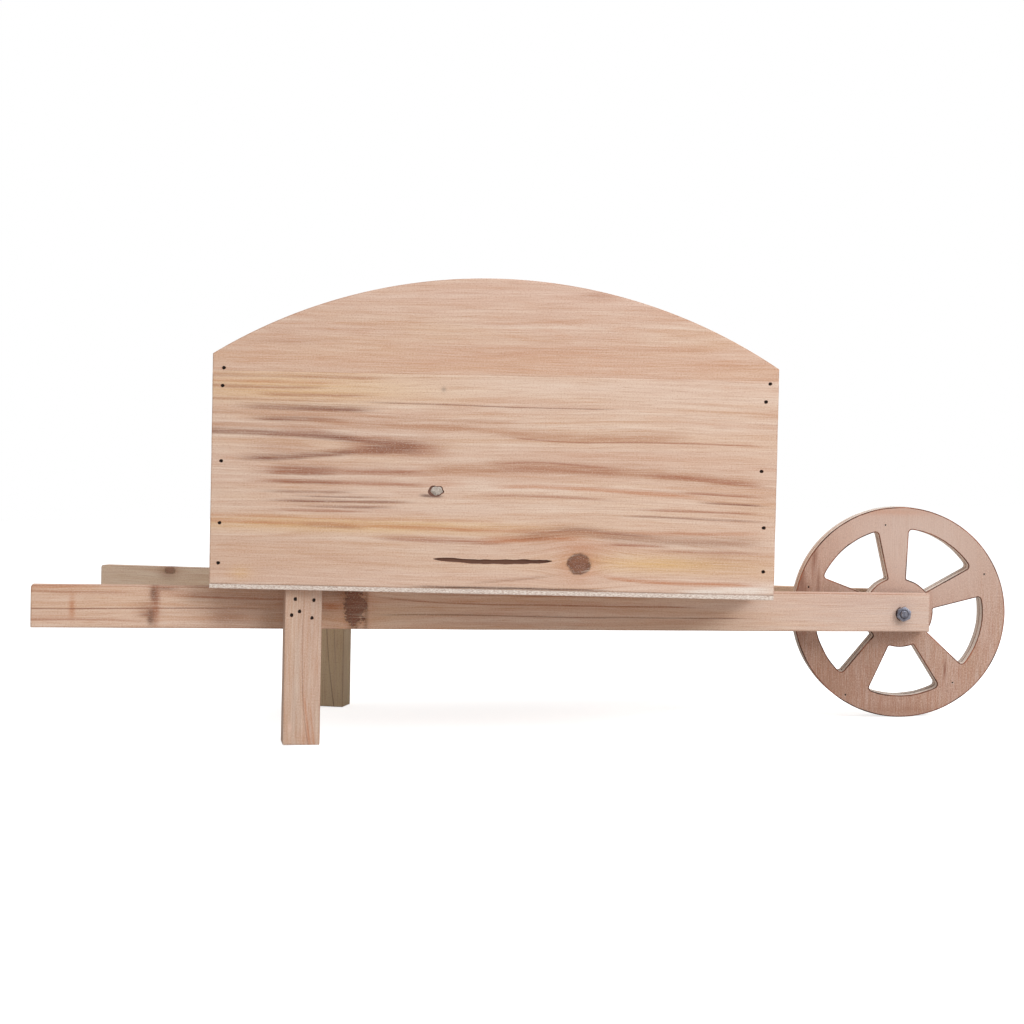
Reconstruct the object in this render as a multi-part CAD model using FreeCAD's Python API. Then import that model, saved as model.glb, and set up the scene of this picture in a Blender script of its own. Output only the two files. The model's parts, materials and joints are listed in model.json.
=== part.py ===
import FreeCAD, Part
import math
import os

from FreeCAD import Vector

# A small wooden wheelbarrow: two rails that spread towards the handles, a nailed box
# with arched sides on a thin plywood floor, two legs, and a plywood wheel on a bolt.
#
# The pieces are drawn in the barrow's own frame, in millimetres: X runs along the centre
# line from the handle ends to the wheel, Y runs to the left of whoever pushes it, and Z
# is measured up from the middle of the rails. Right-hand pieces are drawn first and the
# left-hand ones mirror them. stand_on_ground then tips the whole barrow onto its wheel
# and feet, with the origin on the ground under the middle of its outline.

# Rails
RAIL_LENGTH = 749.0
RAIL_HEIGHT = 34.3
RAIL_END_HEIGHT = 32.4
RAIL_THICKNESS = 15.0
HANDLE_SPREAD = 312.0
SPLAY_DEG = 9.85
HANDLE_CORNER = 2.0

# Stance: the wheel end of the rails sits lower than the handles
INCLINE_DEG = 2.05

# Box on the rails
BOX_START = 141.8
BOX_LENGTH = 450.0
BOX_WIDTH = 306.0
FLOOR_THICKNESS = 3.8
BOARD = 15.0
SIDE_HEIGHT_BACK = 183.4
SIDE_HEIGHT_FRONT = 179.7
SIDE_RISE = 65.5
SIDE_SEAM = 170.0
END_BOARD_WIDTH = 89.8

# Legs, nailed outside the rails with their tops against the floor
LEG_START = 200.7
LEG_WIDTH = 29.5
LEG_THICKNESS = 26.5

# Wheel: two plywood discs nailed together. The spokes are sawn by hand and not quite
# even: their middles are in degrees clockwise from straight up, seen from the right, and
# each window, from one spoke to the next, has an inner and an outer radius of its own.
WHEEL_RADIUS = 90.3
WHEEL_THICKNESS = 24.0
AXLE_ALONG_RAIL = 725.5
SPOKE_DEG = [-5.5, 67.0, 139.9, 211.3, 282.6]
WINDOW_RADII = [(28.5, 71.6), (28.6, 70.7), (30.1, 71.8), (30.0, 72.5), (30.0, 71.8)]
SPOKE_ROOT = 30.0
SPOKE_ROOT_WIDTH = 15.7
SPOKE_TIP = 70.0
SPOKE_TIP_WIDTH = 26.2
WINDOW_OUTER_FILLET = 3.0
WINDOW_INNER_FILLET = 1.5

# Quarter-inch hexagon bolt and nut
BOLT_RADIUS = 3.175
BOLT_LENGTH = 73.0
BOLT_END_CHAMFER = 0.7
HEX_ACROSS_FLATS = 11.1
HEX_CHAMFER_DEG = 30.0
HEAD_HEIGHT = 4.1
NUT_HEIGHT = 5.6
NUT_TURN_DEG = 8.0
SEAT_FROM_CENTRE = 32.3
SEAT_POCKET_RADIUS = 6.6
WHEEL_RUNNING_CLEARANCE = 0.06

# Brads: a round pin with a flat head and a point, driven below the surface
BRAD_RADIUS = 0.8
BRAD_HEAD_RADIUS = 1.2
BRAD_HEAD_HEIGHT = 0.8
BRAD_POINT = 2.0
BRAD_SUNK = 1.2
SIDE_BRAD_LENGTH = 35.0
LEG_BRAD_LENGTH = 38.0
FLOOR_BRAD_LENGTH = 25.0
WHEEL_BRAD_LENGTH = 20.0

# Each side's brads, as distance in from the nearer end and height above the floor
BACK_BRADS = [(8.9, 172.0), (8.1, 157.8), (7.9, 98.0), (7.5, 48.6), (6.8, 16.6)]
FRONT_BRADS = [(6.8, 168.0), (9.8, 153.6), (12.2, 98.5), (9.3, 53.6), (8.9, 18.7)]

# Each leg's brads, as distance from its handle-side edge and height above rail middle
LEG_BRADS = [(8.1, 9.5), (22.9, 8.8), (11.6, -0.4), (5.3, -3.5), (21.6, -5.6)]

# The wheel's brads, as degrees clockwise from straight up and distance from the axle
WHEEL_BRADS = [(-10.4, 75.8), (64.6, 79.5), (141.7, 76.1), (211.6, 84.8), (284.3, 80.7)]

# Brads up through the floor: along each side board, and across each end board
FLOOR_SIDE_BRAD_STEP = 100.0
FLOOR_SIDE_BRAD_INSET = 25.0
FLOOR_END_BRAD_PLACES = [-90.0, 0.0, 90.0]

# Brads down through the floor into each rail, as distances along the rail
RAIL_BRAD_PLACES = [170.0, 290.0, 410.0, 530.0]

# Values that follow from the ones above
splay = math.radians(SPLAY_DEG)
incline = math.radians(INCLINE_DEG)
rail_top = RAIL_HEIGHT / 2
floor_top = rail_top + FLOOR_THICKNESS
box_end = BOX_START + BOX_LENGTH
axle_x = AXLE_ALONG_RAIL * math.cos(splay)
half_width = BOX_WIDTH / 2


def polygon_solid(points, thickness_vector):
    """Extrude the flat polygon through the points."""
    outline = Part.makePolygon(points + [points[0]])
    return Part.Face(outline).extrude(thickness_vector)


def on_rail(shape):
    """Move a shape drawn along X, inwards along Y, to the right rail's outer face."""
    shape.rotate(Vector(0, 0, 0), Vector(0, 0, 1), SPLAY_DEG)
    shape.translate(Vector(0, -HANDLE_SPREAD / 2, 0))
    return shape


def mirrored(shape):
    """The left-hand copy of a right-hand shape."""
    return shape.mirror(Vector(0, 0, 0), Vector(0, 1, 0))


def brad(length, sunk=BRAD_SUNK, scale=1.0):
    """A brad driven along +Y into a surface at Y = 0, and the hole that it makes."""
    pin_radius = BRAD_RADIUS * scale
    head_radius = BRAD_HEAD_RADIUS * scale
    inwards = Vector(0, 1, 0)
    head = Part.makeCylinder(head_radius, BRAD_HEAD_HEIGHT, Vector(0, sunk, 0), inwards)
    pin_end = sunk + length - BRAD_POINT
    pin = Part.makeCylinder(pin_radius, length - BRAD_POINT, Vector(0, sunk, 0), inwards)
    point = Part.makeCone(pin_radius, 0.1, BRAD_POINT, Vector(0, pin_end, 0), inwards)
    nail = head.fuse([pin, point]).removeSplitter()
    if sunk == 0:
        return nail, nail.copy()
    mouth = Part.makeCylinder(head_radius, sunk, Vector(0, 0, 0), inwards)
    return nail, nail.fuse(mouth).removeSplitter()


def moved(shapes, vector, turn_deg=0.0, turn_axis=Vector(1, 0, 0)):
    """Turn the shapes about the origin, then move them."""
    for shape in shapes:
        shape.rotate(Vector(0, 0, 0), turn_axis, turn_deg)
        shape.translate(vector)
    return shapes


def side_brads():
    """The right side's brads and their holes."""
    places = [(BOX_START + inset, height) for inset, height in BACK_BRADS]
    places += [(box_end - inset, height) for inset, height in FRONT_BRADS]
    return [
        moved(brad(SIDE_BRAD_LENGTH), Vector(x, -half_width, floor_top + height))
        for x, height in places
    ]


def leg_brads():
    """The right leg's brads and their holes, driven through the leg into the rail."""
    pairs = []
    for inset, height in LEG_BRADS:
        pair = moved(brad(LEG_BRAD_LENGTH), Vector(LEG_START + inset, -LEG_THICKNESS, height))
        pairs.append([on_rail(shape) for shape in pair])
    return pairs


def floor_brads():
    """The brads driven up through the floor into the boards that stand on it."""
    places = []
    side_line = half_width - BOARD / 2
    x = BOX_START + FLOOR_SIDE_BRAD_INSET
    while x < box_end:
        places += [(x, -side_line), (x, side_line)]
        x += FLOOR_SIDE_BRAD_STEP
    for end_x in (BOX_START + BOARD / 2, box_end - BOARD / 2):
        places += [(end_x, y) for y in FLOOR_END_BRAD_PLACES]
    upwards = 90.0
    return [
        moved(brad(FLOOR_BRAD_LENGTH, sunk=0), Vector(x, y, rail_top), upwards)
        for x, y in places
    ]


def rail_brads():
    """The brads driven down through the floor into the right rail."""
    downwards = -90.0
    pairs = []
    for along in RAIL_BRAD_PLACES:
        place = Vector(along, RAIL_THICKNESS / 2, floor_top)
        pair = moved(brad(FLOOR_BRAD_LENGTH, sunk=0), place, downwards)
        pairs.append([on_rail(shape) for shape in pair])
    return pairs


def nails(pairs):
    """The brads alone, as one group of separate solids."""
    return Part.makeCompound([nail for nail, hole in pairs])


def drill(board, pairs):
    """Cut every brad hole of the pairs out of a board."""
    holes = [hole for nail, hole in pairs if hole.BoundBox.intersect(board.BoundBox)]
    return board.cut(holes) if holes else board


def right_rail():
    """A rail on edge: straight on top, slightly lower at the wheel, eased at the handle."""
    outline = [
        Vector(0, 0, -RAIL_HEIGHT / 2),
        Vector(RAIL_LENGTH, 0, rail_top - RAIL_END_HEIGHT),
        Vector(RAIL_LENGTH, 0, rail_top),
        Vector(0, 0, rail_top),
    ]
    rail = polygon_solid(outline, Vector(0, RAIL_THICKNESS, 0))
    corners = [
        edge for edge in rail.Edges
        if edge.BoundBox.XMax < 0.1 and edge.BoundBox.ZLength < 0.1
    ]
    return on_rail(rail.makeFillet(HANDLE_CORNER, corners))


def leg_drop():
    """How far the legs reach below the rail middle so that wheel and feet stand level."""
    foot_along = LEG_START + LEG_WIDTH
    foot_x = foot_along * math.cos(splay) + LEG_THICKNESS * math.sin(splay)
    ground_at_foot = WHEEL_RADIUS + (axle_x - foot_x) * math.sin(incline)
    return ground_at_foot / math.cos(incline)


def right_leg():
    """A leg against the rail's outer face, square at both ends."""
    drop = leg_drop()
    leg = Part.makeBox(LEG_WIDTH, LEG_THICKNESS, drop + rail_top)
    leg.translate(Vector(LEG_START, -LEG_THICKNESS, -drop))
    return on_rail(leg)


def right_side():
    """The arched side panel as its lower and upper boards, glued edge to edge."""
    back_corner = Vector(BOX_START, -half_width, floor_top + SIDE_HEIGHT_BACK)
    front_corner = Vector(box_end, -half_width, floor_top + SIDE_HEIGHT_FRONT)
    chord = front_corner - back_corner
    square_to_chord = Vector(-chord.z, 0, chord.x).normalize()
    crown = back_corner + chord * 0.5 + square_to_chord * SIDE_RISE
    back_foot = Vector(BOX_START, -half_width, floor_top)
    front_foot = Vector(box_end, -half_width, floor_top)
    outline = Part.Wire([
        Part.LineSegment(back_foot, front_foot).toShape(),
        Part.LineSegment(front_foot, front_corner).toShape(),
        Part.Arc(front_corner, crown, back_corner).toShape(),
        Part.LineSegment(back_corner, back_foot).toShape(),
    ])
    panel = Part.Face(outline).extrude(Vector(0, BOARD, 0))
    lower_zone = Part.makeBox(BOX_LENGTH, BOARD, SIDE_SEAM, back_foot)
    return panel.common(lower_zone), panel.cut(lower_zone)


def end_board(x, height):
    """A board across the box between its sides, with its lower edge at the height."""
    width = BOX_WIDTH - 2 * BOARD
    corner = Vector(x, -width / 2, floor_top + height)
    return Part.makeBox(BOARD, width, END_BOARD_WIDTH, corner)


def box_floor():
    """The plywood sheet that the box's boards stand on."""
    corner = Vector(BOX_START, -half_width, rail_top)
    return Part.makeBox(BOX_LENGTH, BOX_WIDTH, FLOOR_THICKNESS, corner)


def wheel_window(half_gap, inner_radius, outer_radius):
    """One opening, centred straight up from the axle, 1 disc thick.

    half_gap is the angle from its middle to the middle of the spoke on either side."""
    thickness = Vector(0, WHEEL_THICKNESS / 2, 0)
    flare = (SPOKE_TIP_WIDTH - SPOKE_ROOT_WIDTH) / 2 / (SPOKE_TIP - SPOKE_ROOT)

    def spoke_edge(distance, side):
        offset = SPOKE_ROOT_WIDTH / 2 + (distance - SPOKE_ROOT) * flare
        turn = side * half_gap
        x = distance * math.sin(turn) - side * offset * math.cos(turn)
        z = distance * math.cos(turn) + side * offset * math.sin(turn)
        return Vector(x, 0, z)

    near = inner_radius / 2
    far = WHEEL_RADIUS
    wedge = polygon_solid(
        [spoke_edge(near, -1), spoke_edge(far, -1), spoke_edge(far, 1), spoke_edge(near, 1)],
        thickness,
    )
    across = Vector(0, 1, 0)
    ring = Part.makeCylinder(outer_radius, thickness.y, Vector(0, 0, 0), across)
    ring = ring.cut(Part.makeCylinder(inner_radius, thickness.y, Vector(0, 0, 0), across))
    window = wedge.common(ring)
    corners = [edge for edge in window.Edges if edge.BoundBox.YLength > thickness.y / 2]
    middle = (inner_radius + outer_radius) / 2
    outer = [edge for edge in corners if edge.CenterOfMass.Length > middle]
    window = window.makeFillet(WINDOW_OUTER_FILLET, outer)
    corners = [edge for edge in window.Edges if edge.BoundBox.YLength > thickness.y / 2]
    inner = [
        edge for edge in corners
        if math.hypot(edge.CenterOfMass.x, edge.CenterOfMass.z) < inner_radius + 1
    ]
    return window.makeFillet(WINDOW_INNER_FILLET, inner)


def wheel_brads():
    """The brads that hold the two discs together, and their holes."""
    pairs = []
    for turn_deg, radius in WHEEL_BRADS:
        turn = math.radians(turn_deg)
        place = Vector(
            axle_x + radius * math.sin(turn), -WHEEL_THICKNESS / 2, radius * math.cos(turn)
        )
        pairs.append(moved(brad(WHEEL_BRAD_LENGTH, scale=0.7), place))
    return pairs


def wheel_disc(y):
    """One of the wheel's two discs, with its inner or outer face starting at y."""
    across = Vector(0, 1, 0)
    thickness = WHEEL_THICKNESS / 2
    bore = Part.makeCylinder(BOLT_RADIUS + WHEEL_RUNNING_CLEARANCE, thickness,
                             Vector(0, 0, 0), across)
    openings = [bore]
    next_spokes = SPOKE_DEG[1:] + [SPOKE_DEG[0] + 360]
    for this_deg, next_deg, radii in zip(SPOKE_DEG, next_spokes, WINDOW_RADII):
        window = wheel_window(math.radians(next_deg - this_deg) / 2, *radii)
        window.rotate(Vector(0, 0, 0), across, (this_deg + next_deg) / 2)
        openings.append(window)
    disc = Part.makeCylinder(WHEEL_RADIUS, thickness, Vector(0, 0, 0), across).cut(openings)
    disc.translate(Vector(axle_x, y, 0))
    return disc


def hexagon(height, start_y, turn_deg=0.0):
    """A hexagonal prism round the axle line, its outer corners chamfered at both ends."""
    across = Vector(0, 1, 0)
    corner_radius = HEX_ACROSS_FLATS / math.sqrt(3)
    corners = [
        Vector(corner_radius * math.sin(math.radians(60 * k)), 0,
               corner_radius * math.cos(math.radians(60 * k)))
        for k in range(6)
    ]
    prism = polygon_solid(corners, Vector(0, height, 0))
    flat_radius = HEX_ACROSS_FLATS / 2
    far_radius = flat_radius + height / math.tan(math.radians(HEX_CHAMFER_DEG))
    origin = Vector(0, 0, 0)
    start_cone = Part.makeCone(flat_radius, far_radius, height, origin, across)
    end_cone = Part.makeCone(far_radius, flat_radius, height, origin, across)
    prism = prism.common(start_cone).common(end_cone)
    prism.rotate(Vector(0, 0, 0), across, turn_deg)
    prism.translate(Vector(axle_x, start_y, 0))
    return prism


def axle_bolt():
    """The bolt: its head outside the left rail, its end past the nut outside the right."""
    across = Vector(0, 1, 0)
    end_y = SEAT_FROM_CENTRE - BOLT_LENGTH
    tip = Part.makeCone(BOLT_RADIUS - BOLT_END_CHAMFER, BOLT_RADIUS, BOLT_END_CHAMFER,
                        Vector(axle_x, end_y, 0), across)
    shank = Part.makeCylinder(BOLT_RADIUS, BOLT_LENGTH - BOLT_END_CHAMFER,
                              Vector(axle_x, end_y + BOLT_END_CHAMFER, 0), across)
    head = hexagon(HEAD_HEIGHT, SEAT_FROM_CENTRE)
    return head.fuse([shank, tip]).removeSplitter()


def axle_nut():
    """The nut against the right rail."""
    nut = hexagon(NUT_HEIGHT, -SEAT_FROM_CENTRE - NUT_HEIGHT, NUT_TURN_DEG)
    hole = Part.makeCylinder(BOLT_RADIUS, 2 * NUT_HEIGHT,
                             Vector(axle_x, -SEAT_FROM_CENTRE - 1.5 * NUT_HEIGHT, 0),
                             Vector(0, 1, 0))
    return nut.cut(hole)


def bolt_hole():
    """The hole through both rails and the pockets that the nut and head press into them."""
    across = Vector(0, 1, 0)
    reach = HANDLE_SPREAD / 2
    hole = Part.makeCylinder(BOLT_RADIUS, 2 * reach, Vector(axle_x, -reach, 0), across)
    pocket_depth = reach - SEAT_FROM_CENTRE
    right_pocket = Part.makeCylinder(SEAT_POCKET_RADIUS, pocket_depth,
                                     Vector(axle_x, -reach, 0), across)
    left_pocket = Part.makeCylinder(SEAT_POCKET_RADIUS, pocket_depth,
                                    Vector(axle_x, SEAT_FROM_CENTRE, 0), across)
    return [hole, right_pocket, left_pocket]


def barrow():
    """Every piece by name, in the barrow's own frame."""
    sides = side_brads()
    legs = leg_brads()
    floors = floor_brads()
    rails = rail_brads()
    discs = wheel_brads()

    lower_side, upper_side = right_side()
    rail = drill(right_rail(), legs + rails).cut(bolt_hole())
    leg = drill(right_leg(), legs)
    lower_side = drill(lower_side, sides + floors)
    upper_side = drill(upper_side, sides)
    left_sides = [[mirrored(nail), mirrored(hole)] for nail, hole in sides]
    left_rails = [[mirrored(nail), mirrored(hole)] for nail, hole in rails]
    front_x = box_end - BOARD
    end_holes = sides + left_sides + floors

    return {
        "right_rail": rail,
        "left_rail": mirrored(rail),
        "right_leg": leg,
        "left_leg": mirrored(leg),
        "right_side_lower_board": lower_side,
        "right_side_upper_board": upper_side,
        "left_side_lower_board": mirrored(lower_side),
        "left_side_upper_board": mirrored(upper_side),
        "front_lower_board": drill(end_board(front_x, 0), end_holes),
        "front_upper_board": drill(end_board(front_x, END_BOARD_WIDTH), end_holes),
        "back_lower_board": drill(end_board(BOX_START, 0), end_holes),
        "back_upper_board": drill(end_board(BOX_START, END_BOARD_WIDTH), end_holes),
        "box_floor": drill(box_floor(), floors + rails + left_rails),
        "right_side_brads": nails(sides),
        "left_side_brads": nails(left_sides),
        "right_leg_brads": nails(legs),
        "left_leg_brads": mirrored(nails(legs)),
        "floor_to_box_brads": nails(floors),
        "floor_to_rail_brads": nails(rails + left_rails),
        "right_wheel_disc": drill(wheel_disc(-WHEEL_THICKNESS / 2), discs),
        "left_wheel_disc": drill(wheel_disc(0), discs),
        "wheel_brads": nails(discs),
        "axle_bolt": axle_bolt(),
        "axle_nut": axle_nut(),
    }


def stand_on_ground(pieces):
    """Tip the barrow onto its wheel and feet and centre its outline on the origin."""
    for shape in pieces.values():
        shape.rotate(Vector(0, 0, 0), Vector(0, 1, 0), INCLINE_DEG)
    axle_height = WHEEL_RADIUS + axle_x * math.sin(incline)
    back = -RAIL_THICKNESS * math.sin(splay) * math.cos(incline)
    back -= (RAIL_HEIGHT / 2 - HANDLE_CORNER) * math.sin(incline)
    front = axle_x * math.cos(incline) + WHEEL_RADIUS
    for shape in pieces.values():
        shape.translate(Vector(-(back + front) / 2, 0, axle_height))
    return pieces


os.makedirs("parts", exist_ok=True)
for name, shape in stand_on_ground(barrow()).items():
    if not shape.isValid():
        raise ValueError(name + " is not a valid shape")
    shape.exportStep("parts/" + name + ".step")
    print(name, len(shape.Solids), "solid(s)", round(shape.Volume / 1000, 2), "cm3")
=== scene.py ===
import json
import math
import random

import bmesh
import bpy
from mathutils import Matrix, Vector, noise


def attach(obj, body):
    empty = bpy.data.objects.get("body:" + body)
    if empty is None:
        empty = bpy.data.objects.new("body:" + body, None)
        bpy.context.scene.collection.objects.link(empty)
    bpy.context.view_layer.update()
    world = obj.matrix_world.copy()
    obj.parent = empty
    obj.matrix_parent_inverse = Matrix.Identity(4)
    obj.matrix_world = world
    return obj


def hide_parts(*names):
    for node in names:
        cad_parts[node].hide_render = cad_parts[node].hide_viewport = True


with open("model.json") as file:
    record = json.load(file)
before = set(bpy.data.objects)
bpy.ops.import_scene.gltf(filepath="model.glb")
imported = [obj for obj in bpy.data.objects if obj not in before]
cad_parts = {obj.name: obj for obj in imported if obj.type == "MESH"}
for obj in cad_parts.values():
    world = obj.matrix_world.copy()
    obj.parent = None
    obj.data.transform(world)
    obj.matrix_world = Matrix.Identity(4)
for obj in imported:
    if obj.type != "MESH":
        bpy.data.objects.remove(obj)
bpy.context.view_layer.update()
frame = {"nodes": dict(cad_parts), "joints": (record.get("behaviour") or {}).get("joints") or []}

# A small pine wheelbarrow. Every wooden piece is drawn in a frame of its own, in
# millimetres: X along the grain, Y through the thickness, Z across the width. The
# frames are measured from the CAD nodes, so each piece lies where its node lies, and
# its mesh keeps its places in that frame for the materials to read.

MM = 0.001
INCLINE = math.radians(2.05)
SPLAY = math.radians(9.85)
AXLE = Vector(frame["joints"][0]["pos_m"])
TILT = Matrix.Translation(AXLE) @ Matrix.Rotation(INCLINE, 4, "Y")

# Axes of a piece's own frame, as columns, for grain along X, Y or Z of the barrow
GRAIN_ALONG = {
    "x": Matrix(((1, 0, 0), (0, 1, 0), (0, 0, 1))).to_4x4(),
    "y": Matrix(((0, -1, 0), (1, 0, 0), (0, 0, 1))).to_4x4(),
    "z": Matrix(((0, 0, -1), (0, 1, 0), (1, 0, 0))).to_4x4(),
    "sheet": Matrix(((1, 0, 0), (0, 0, -1), (0, 1, 0))).to_4x4(),
}


def piece_frame(node, grain="x", turn=0.0):
    """A frame at the lowest corner of a CAD node, and the node's size in it, in mm."""
    axes = TILT @ Matrix.Rotation(turn, 4, "Z") @ GRAIN_ALONG[grain] @ Matrix.Scale(MM, 4)
    to_axes = axes.inverted()
    corners = [to_axes @ vertex.co for vertex in frame["nodes"][node].data.vertices]
    low = Vector([min(point[i] for point in corners) for i in range(3)])
    high = Vector([max(point[i] for point in corners) for i in range(3)])
    return axes @ Matrix.Translation(low), high - low


# ======== outlines and prisms

ARC_STEPS = 4
MERGE_DISTANCE = 0.004
SHARP_ANGLE = math.radians(35)


def wander(distance, seed, wavelength):
    """A smooth random number between -1 and 1 that changes along a distance."""
    return noise.noise(Vector((distance / wavelength, seed * 7.31, seed * 1.7))) * 1.6


def polyline(corners, step, roughness=0.0, wavelength=12.0, seed=0):
    """Outline points (x, z, radius) from corners, with rough straight runs between them."""
    points = []
    travelled = 0.0
    for number, (x, z, radius) in enumerate(corners):
        next_x, next_z, next_radius = corners[(number + 1) % len(corners)]
        points.append((x, z, radius))
        run = math.hypot(next_x - x, next_z - z)
        along = ((next_x - x) / run, (next_z - z) / run)
        count = max(1, round(run / step))
        for k in range(1, count):
            share = k / count
            if share * run < radius * 1.5 or (1 - share) * run < next_radius * 1.5:
                continue
            shift = roughness * wander(travelled + share * run, seed, wavelength)
            points.append((x + along[0] * run * share - along[1] * shift,
                           z + along[1] * run * share + along[0] * shift, 0.0))
        travelled += run
    return points


def turns(steps):
    """Equal steps of one full turn."""
    return [2 * math.pi * k / steps for k in range(steps)]


def ring(radius, steps, rough=0.0, seed=0, reverse=False):
    """A circle of outline points about the origin."""
    points = []
    for turn in turns(steps):
        r = radius + rough * wander(radius * turn, seed, 15.0)
        points.append((r * math.cos(turn), r * math.sin(turn), 0.0))
    return points[::-1] if reverse else points


def rectangle(size, radius):
    """Corners of a board's outline, all with the same small rounding."""
    return [(0, 0, radius), (size.x, 0, radius), (size.x, size.z, radius), (0, size.z, radius)]


def inset_loop(points, inset):
    """The outline moved into the solid by inset, with its corners rounded."""
    loop = []
    total = len(points)
    for i, (x, z, radius) in enumerate(points):
        before = Vector((x - points[i - 1][0], z - points[i - 1][1])).normalized()
        after = Vector((points[(i + 1) % total][0] - x, points[(i + 1) % total][1] - z))
        after.normalize()
        normal_before = Vector((-before.y, before.x))
        normal_after = Vector((-after.y, after.x))
        mitre = (normal_before + normal_after) / (1 + normal_before.dot(normal_after))
        corner = Vector((x, z)) + mitre * inset
        if radius == 0:
            loop.append(corner)
            continue
        cross = before.x * after.y - before.y * after.x
        turning = math.atan2(cross, before.dot(after))
        rounded = max(radius - math.copysign(inset, turning), 0.02)
        reach = rounded * math.tan(abs(turning) / 2)
        centre = corner - before * reach + math.copysign(rounded, turning) * normal_before
        start = -math.copysign(rounded, turning) * normal_before
        for k in range(ARC_STEPS + 1):
            angle = turning * k / ARC_STEPS
            turned = Vector((start.x * math.cos(angle) - start.y * math.sin(angle),
                             start.x * math.sin(angle) + start.y * math.cos(angle)))
            loop.append(centre + turned)
    return loop


def skin(mesh, stack):
    """Join a stack of equal rings of vertices with quads."""
    for lower, upper in zip(stack, stack[1:]):
        for i in range(len(lower)):
            mesh.faces.new((lower[i - 1], lower[i], upper[i], upper[i - 1]))


def add_stack(mesh, loops):
    """Add a closed solid: a stack of equal loops of (x, y, z) points with flat ends."""
    stack = [[mesh.verts.new(point) for point in loop] for loop in loops]
    skin(mesh, stack)
    mesh.faces.new(stack[0][::-1])
    mesh.faces.new(stack[-1])


def mesh_data(name, mesh, recalculate=True):
    """Turn a bmesh into mesh data."""
    if recalculate:
        bmesh.ops.recalc_face_normals(mesh, faces=mesh.faces)
    data = bpy.data.meshes.new(name)
    mesh.to_mesh(data)
    mesh.free()
    return data


def prism_mesh(name, outlines, thickness, ease, wear_width=1.6):
    """A flat solid between y = 0 and y = thickness with rounded arrises.

    The outlines run anticlockwise round the solid and clockwise round its openings.
    The point attribute "wear" is 1 on the arrises and fades to 0 within wear_width."""
    wear_width = min(wear_width, thickness / 2 - ease - 0.1)
    levels = [(ease + wear_width, 0.0, 0.0)]
    for k in range(4):
        angle = math.pi / 6 * k
        levels.append((ease * (1 - math.sin(angle)), ease * (1 - math.cos(angle)), 1.0))
    levels.append((0.0, ease + wear_width, 0.0))
    levels += [(inset, thickness - y, wear) for inset, y, wear in reversed(levels)]

    mesh = bmesh.new()
    wear_layer = mesh.verts.layers.float.new("wear")
    rings = []
    for outline in outlines:
        loops = []
        for inset, y, wear in levels:
            verts = []
            for point in inset_loop(outline, inset):
                vert = mesh.verts.new((point.x, y, point.y))
                vert[wear_layer] = wear
                verts.append(vert)
            loops.append(verts)
        rings.append(loops)
    for loops in rings:
        skin(mesh, loops)
    for level in (0, -1):
        edges = []
        for loops in rings:
            verts = loops[level]
            edges += [mesh.edges.get((verts[i - 1], verts[i])) for i in range(len(verts))]
        bmesh.ops.triangle_fill(mesh, use_beauty=True, use_dissolve=False, edges=edges)
    bmesh.ops.remove_doubles(mesh, verts=mesh.verts, dist=MERGE_DISTANCE)
    return mesh_data(name, mesh)


def flipped(data, thickness):
    """Turn a prism over, so that what was drawn on y = 0 lies on y = thickness."""
    data.transform(Matrix.Translation((0, thickness, 0)) @ Matrix.Scale(-1, 4, (0, 1, 0)))
    data.flip_normals()
    return data


def keep_own_frame(data):
    """Store each point's place and each face's direction in the piece's own frame."""
    places = [number for vertex in data.vertices for number in vertex.co]
    data.attributes.new("place", "FLOAT_VECTOR", "POINT").data.foreach_set("vector", places)
    for label, axis in (("faces_x", 0), ("faces_y", 1)):
        values = [abs(polygon.normal[axis]) for polygon in data.polygons]
        data.attributes.new(label, "FLOAT", "FACE").data.foreach_set("value", values)


def put(name, data, matrix, body, node_names, material):
    """Make a piece from a mesh: place it, let it ride, and let it stand for CAD nodes."""
    keep_own_frame(data)
    data.transform(matrix)
    piece = bpy.data.objects.new(name, data)
    bpy.context.scene.collection.objects.link(piece)
    data.materials.clear()
    data.materials.append(material)
    data.shade_smooth()
    data.set_sharp_from_angle(angle=SHARP_ANGLE)
    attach(piece, body)
    if node_names:
        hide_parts(*node_names)


def carve(data, shapes):
    """Cut closed shapes, each a stack of loops, out of a mesh and return the carved mesh."""
    mesh = bmesh.new()
    for loops in shapes:
        add_stack(mesh, loops)
    target = bpy.data.objects.new("target", data)
    cutter = bpy.data.objects.new("cutter", mesh_data("cutter", mesh))
    for item in (target, cutter):
        bpy.context.scene.collection.objects.link(item)
    modifier = target.modifiers.new("carve", "BOOLEAN")
    modifier.operation = "DIFFERENCE"
    modifier.solver = "EXACT"
    modifier.object = cutter
    bpy.context.view_layer.update()
    evaluated = target.evaluated_get(bpy.context.evaluated_depsgraph_get())
    carved = bpy.data.meshes.new_from_object(evaluated)
    carved.name = data.name
    bpy.data.objects.remove(target)
    bpy.data.objects.remove(cutter)
    mark_pits(carved, shapes)
    return carved


def mark_pits(data, shapes):
    """Set the point attribute "pit" to 1 on the walls and beds of carved shapes."""
    skirt = 0.01
    boxes = []
    for loops in shapes:
        points = [point for loop in loops for point in loop]
        boxes.append([(min(axis) - skirt, max(axis) + skirt) for axis in zip(*points)])
    marks = []
    for vertex in data.vertices:
        x, y, z = vertex.co
        inside = y > 0.02 and any(
            bx[0] < x < bx[1] and y < by[1] and bz[0] < z < bz[1] for bx, by, bz in boxes
        )
        marks.append(1.0 if inside else 0.0)
    data.attributes.new("pit", "FLOAT", "POINT").data.foreach_set("value", marks)


CUTTER_TOP = -0.6
NAIL_MOUTH = 1.45
NAIL_DEPTH = 1.3


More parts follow.
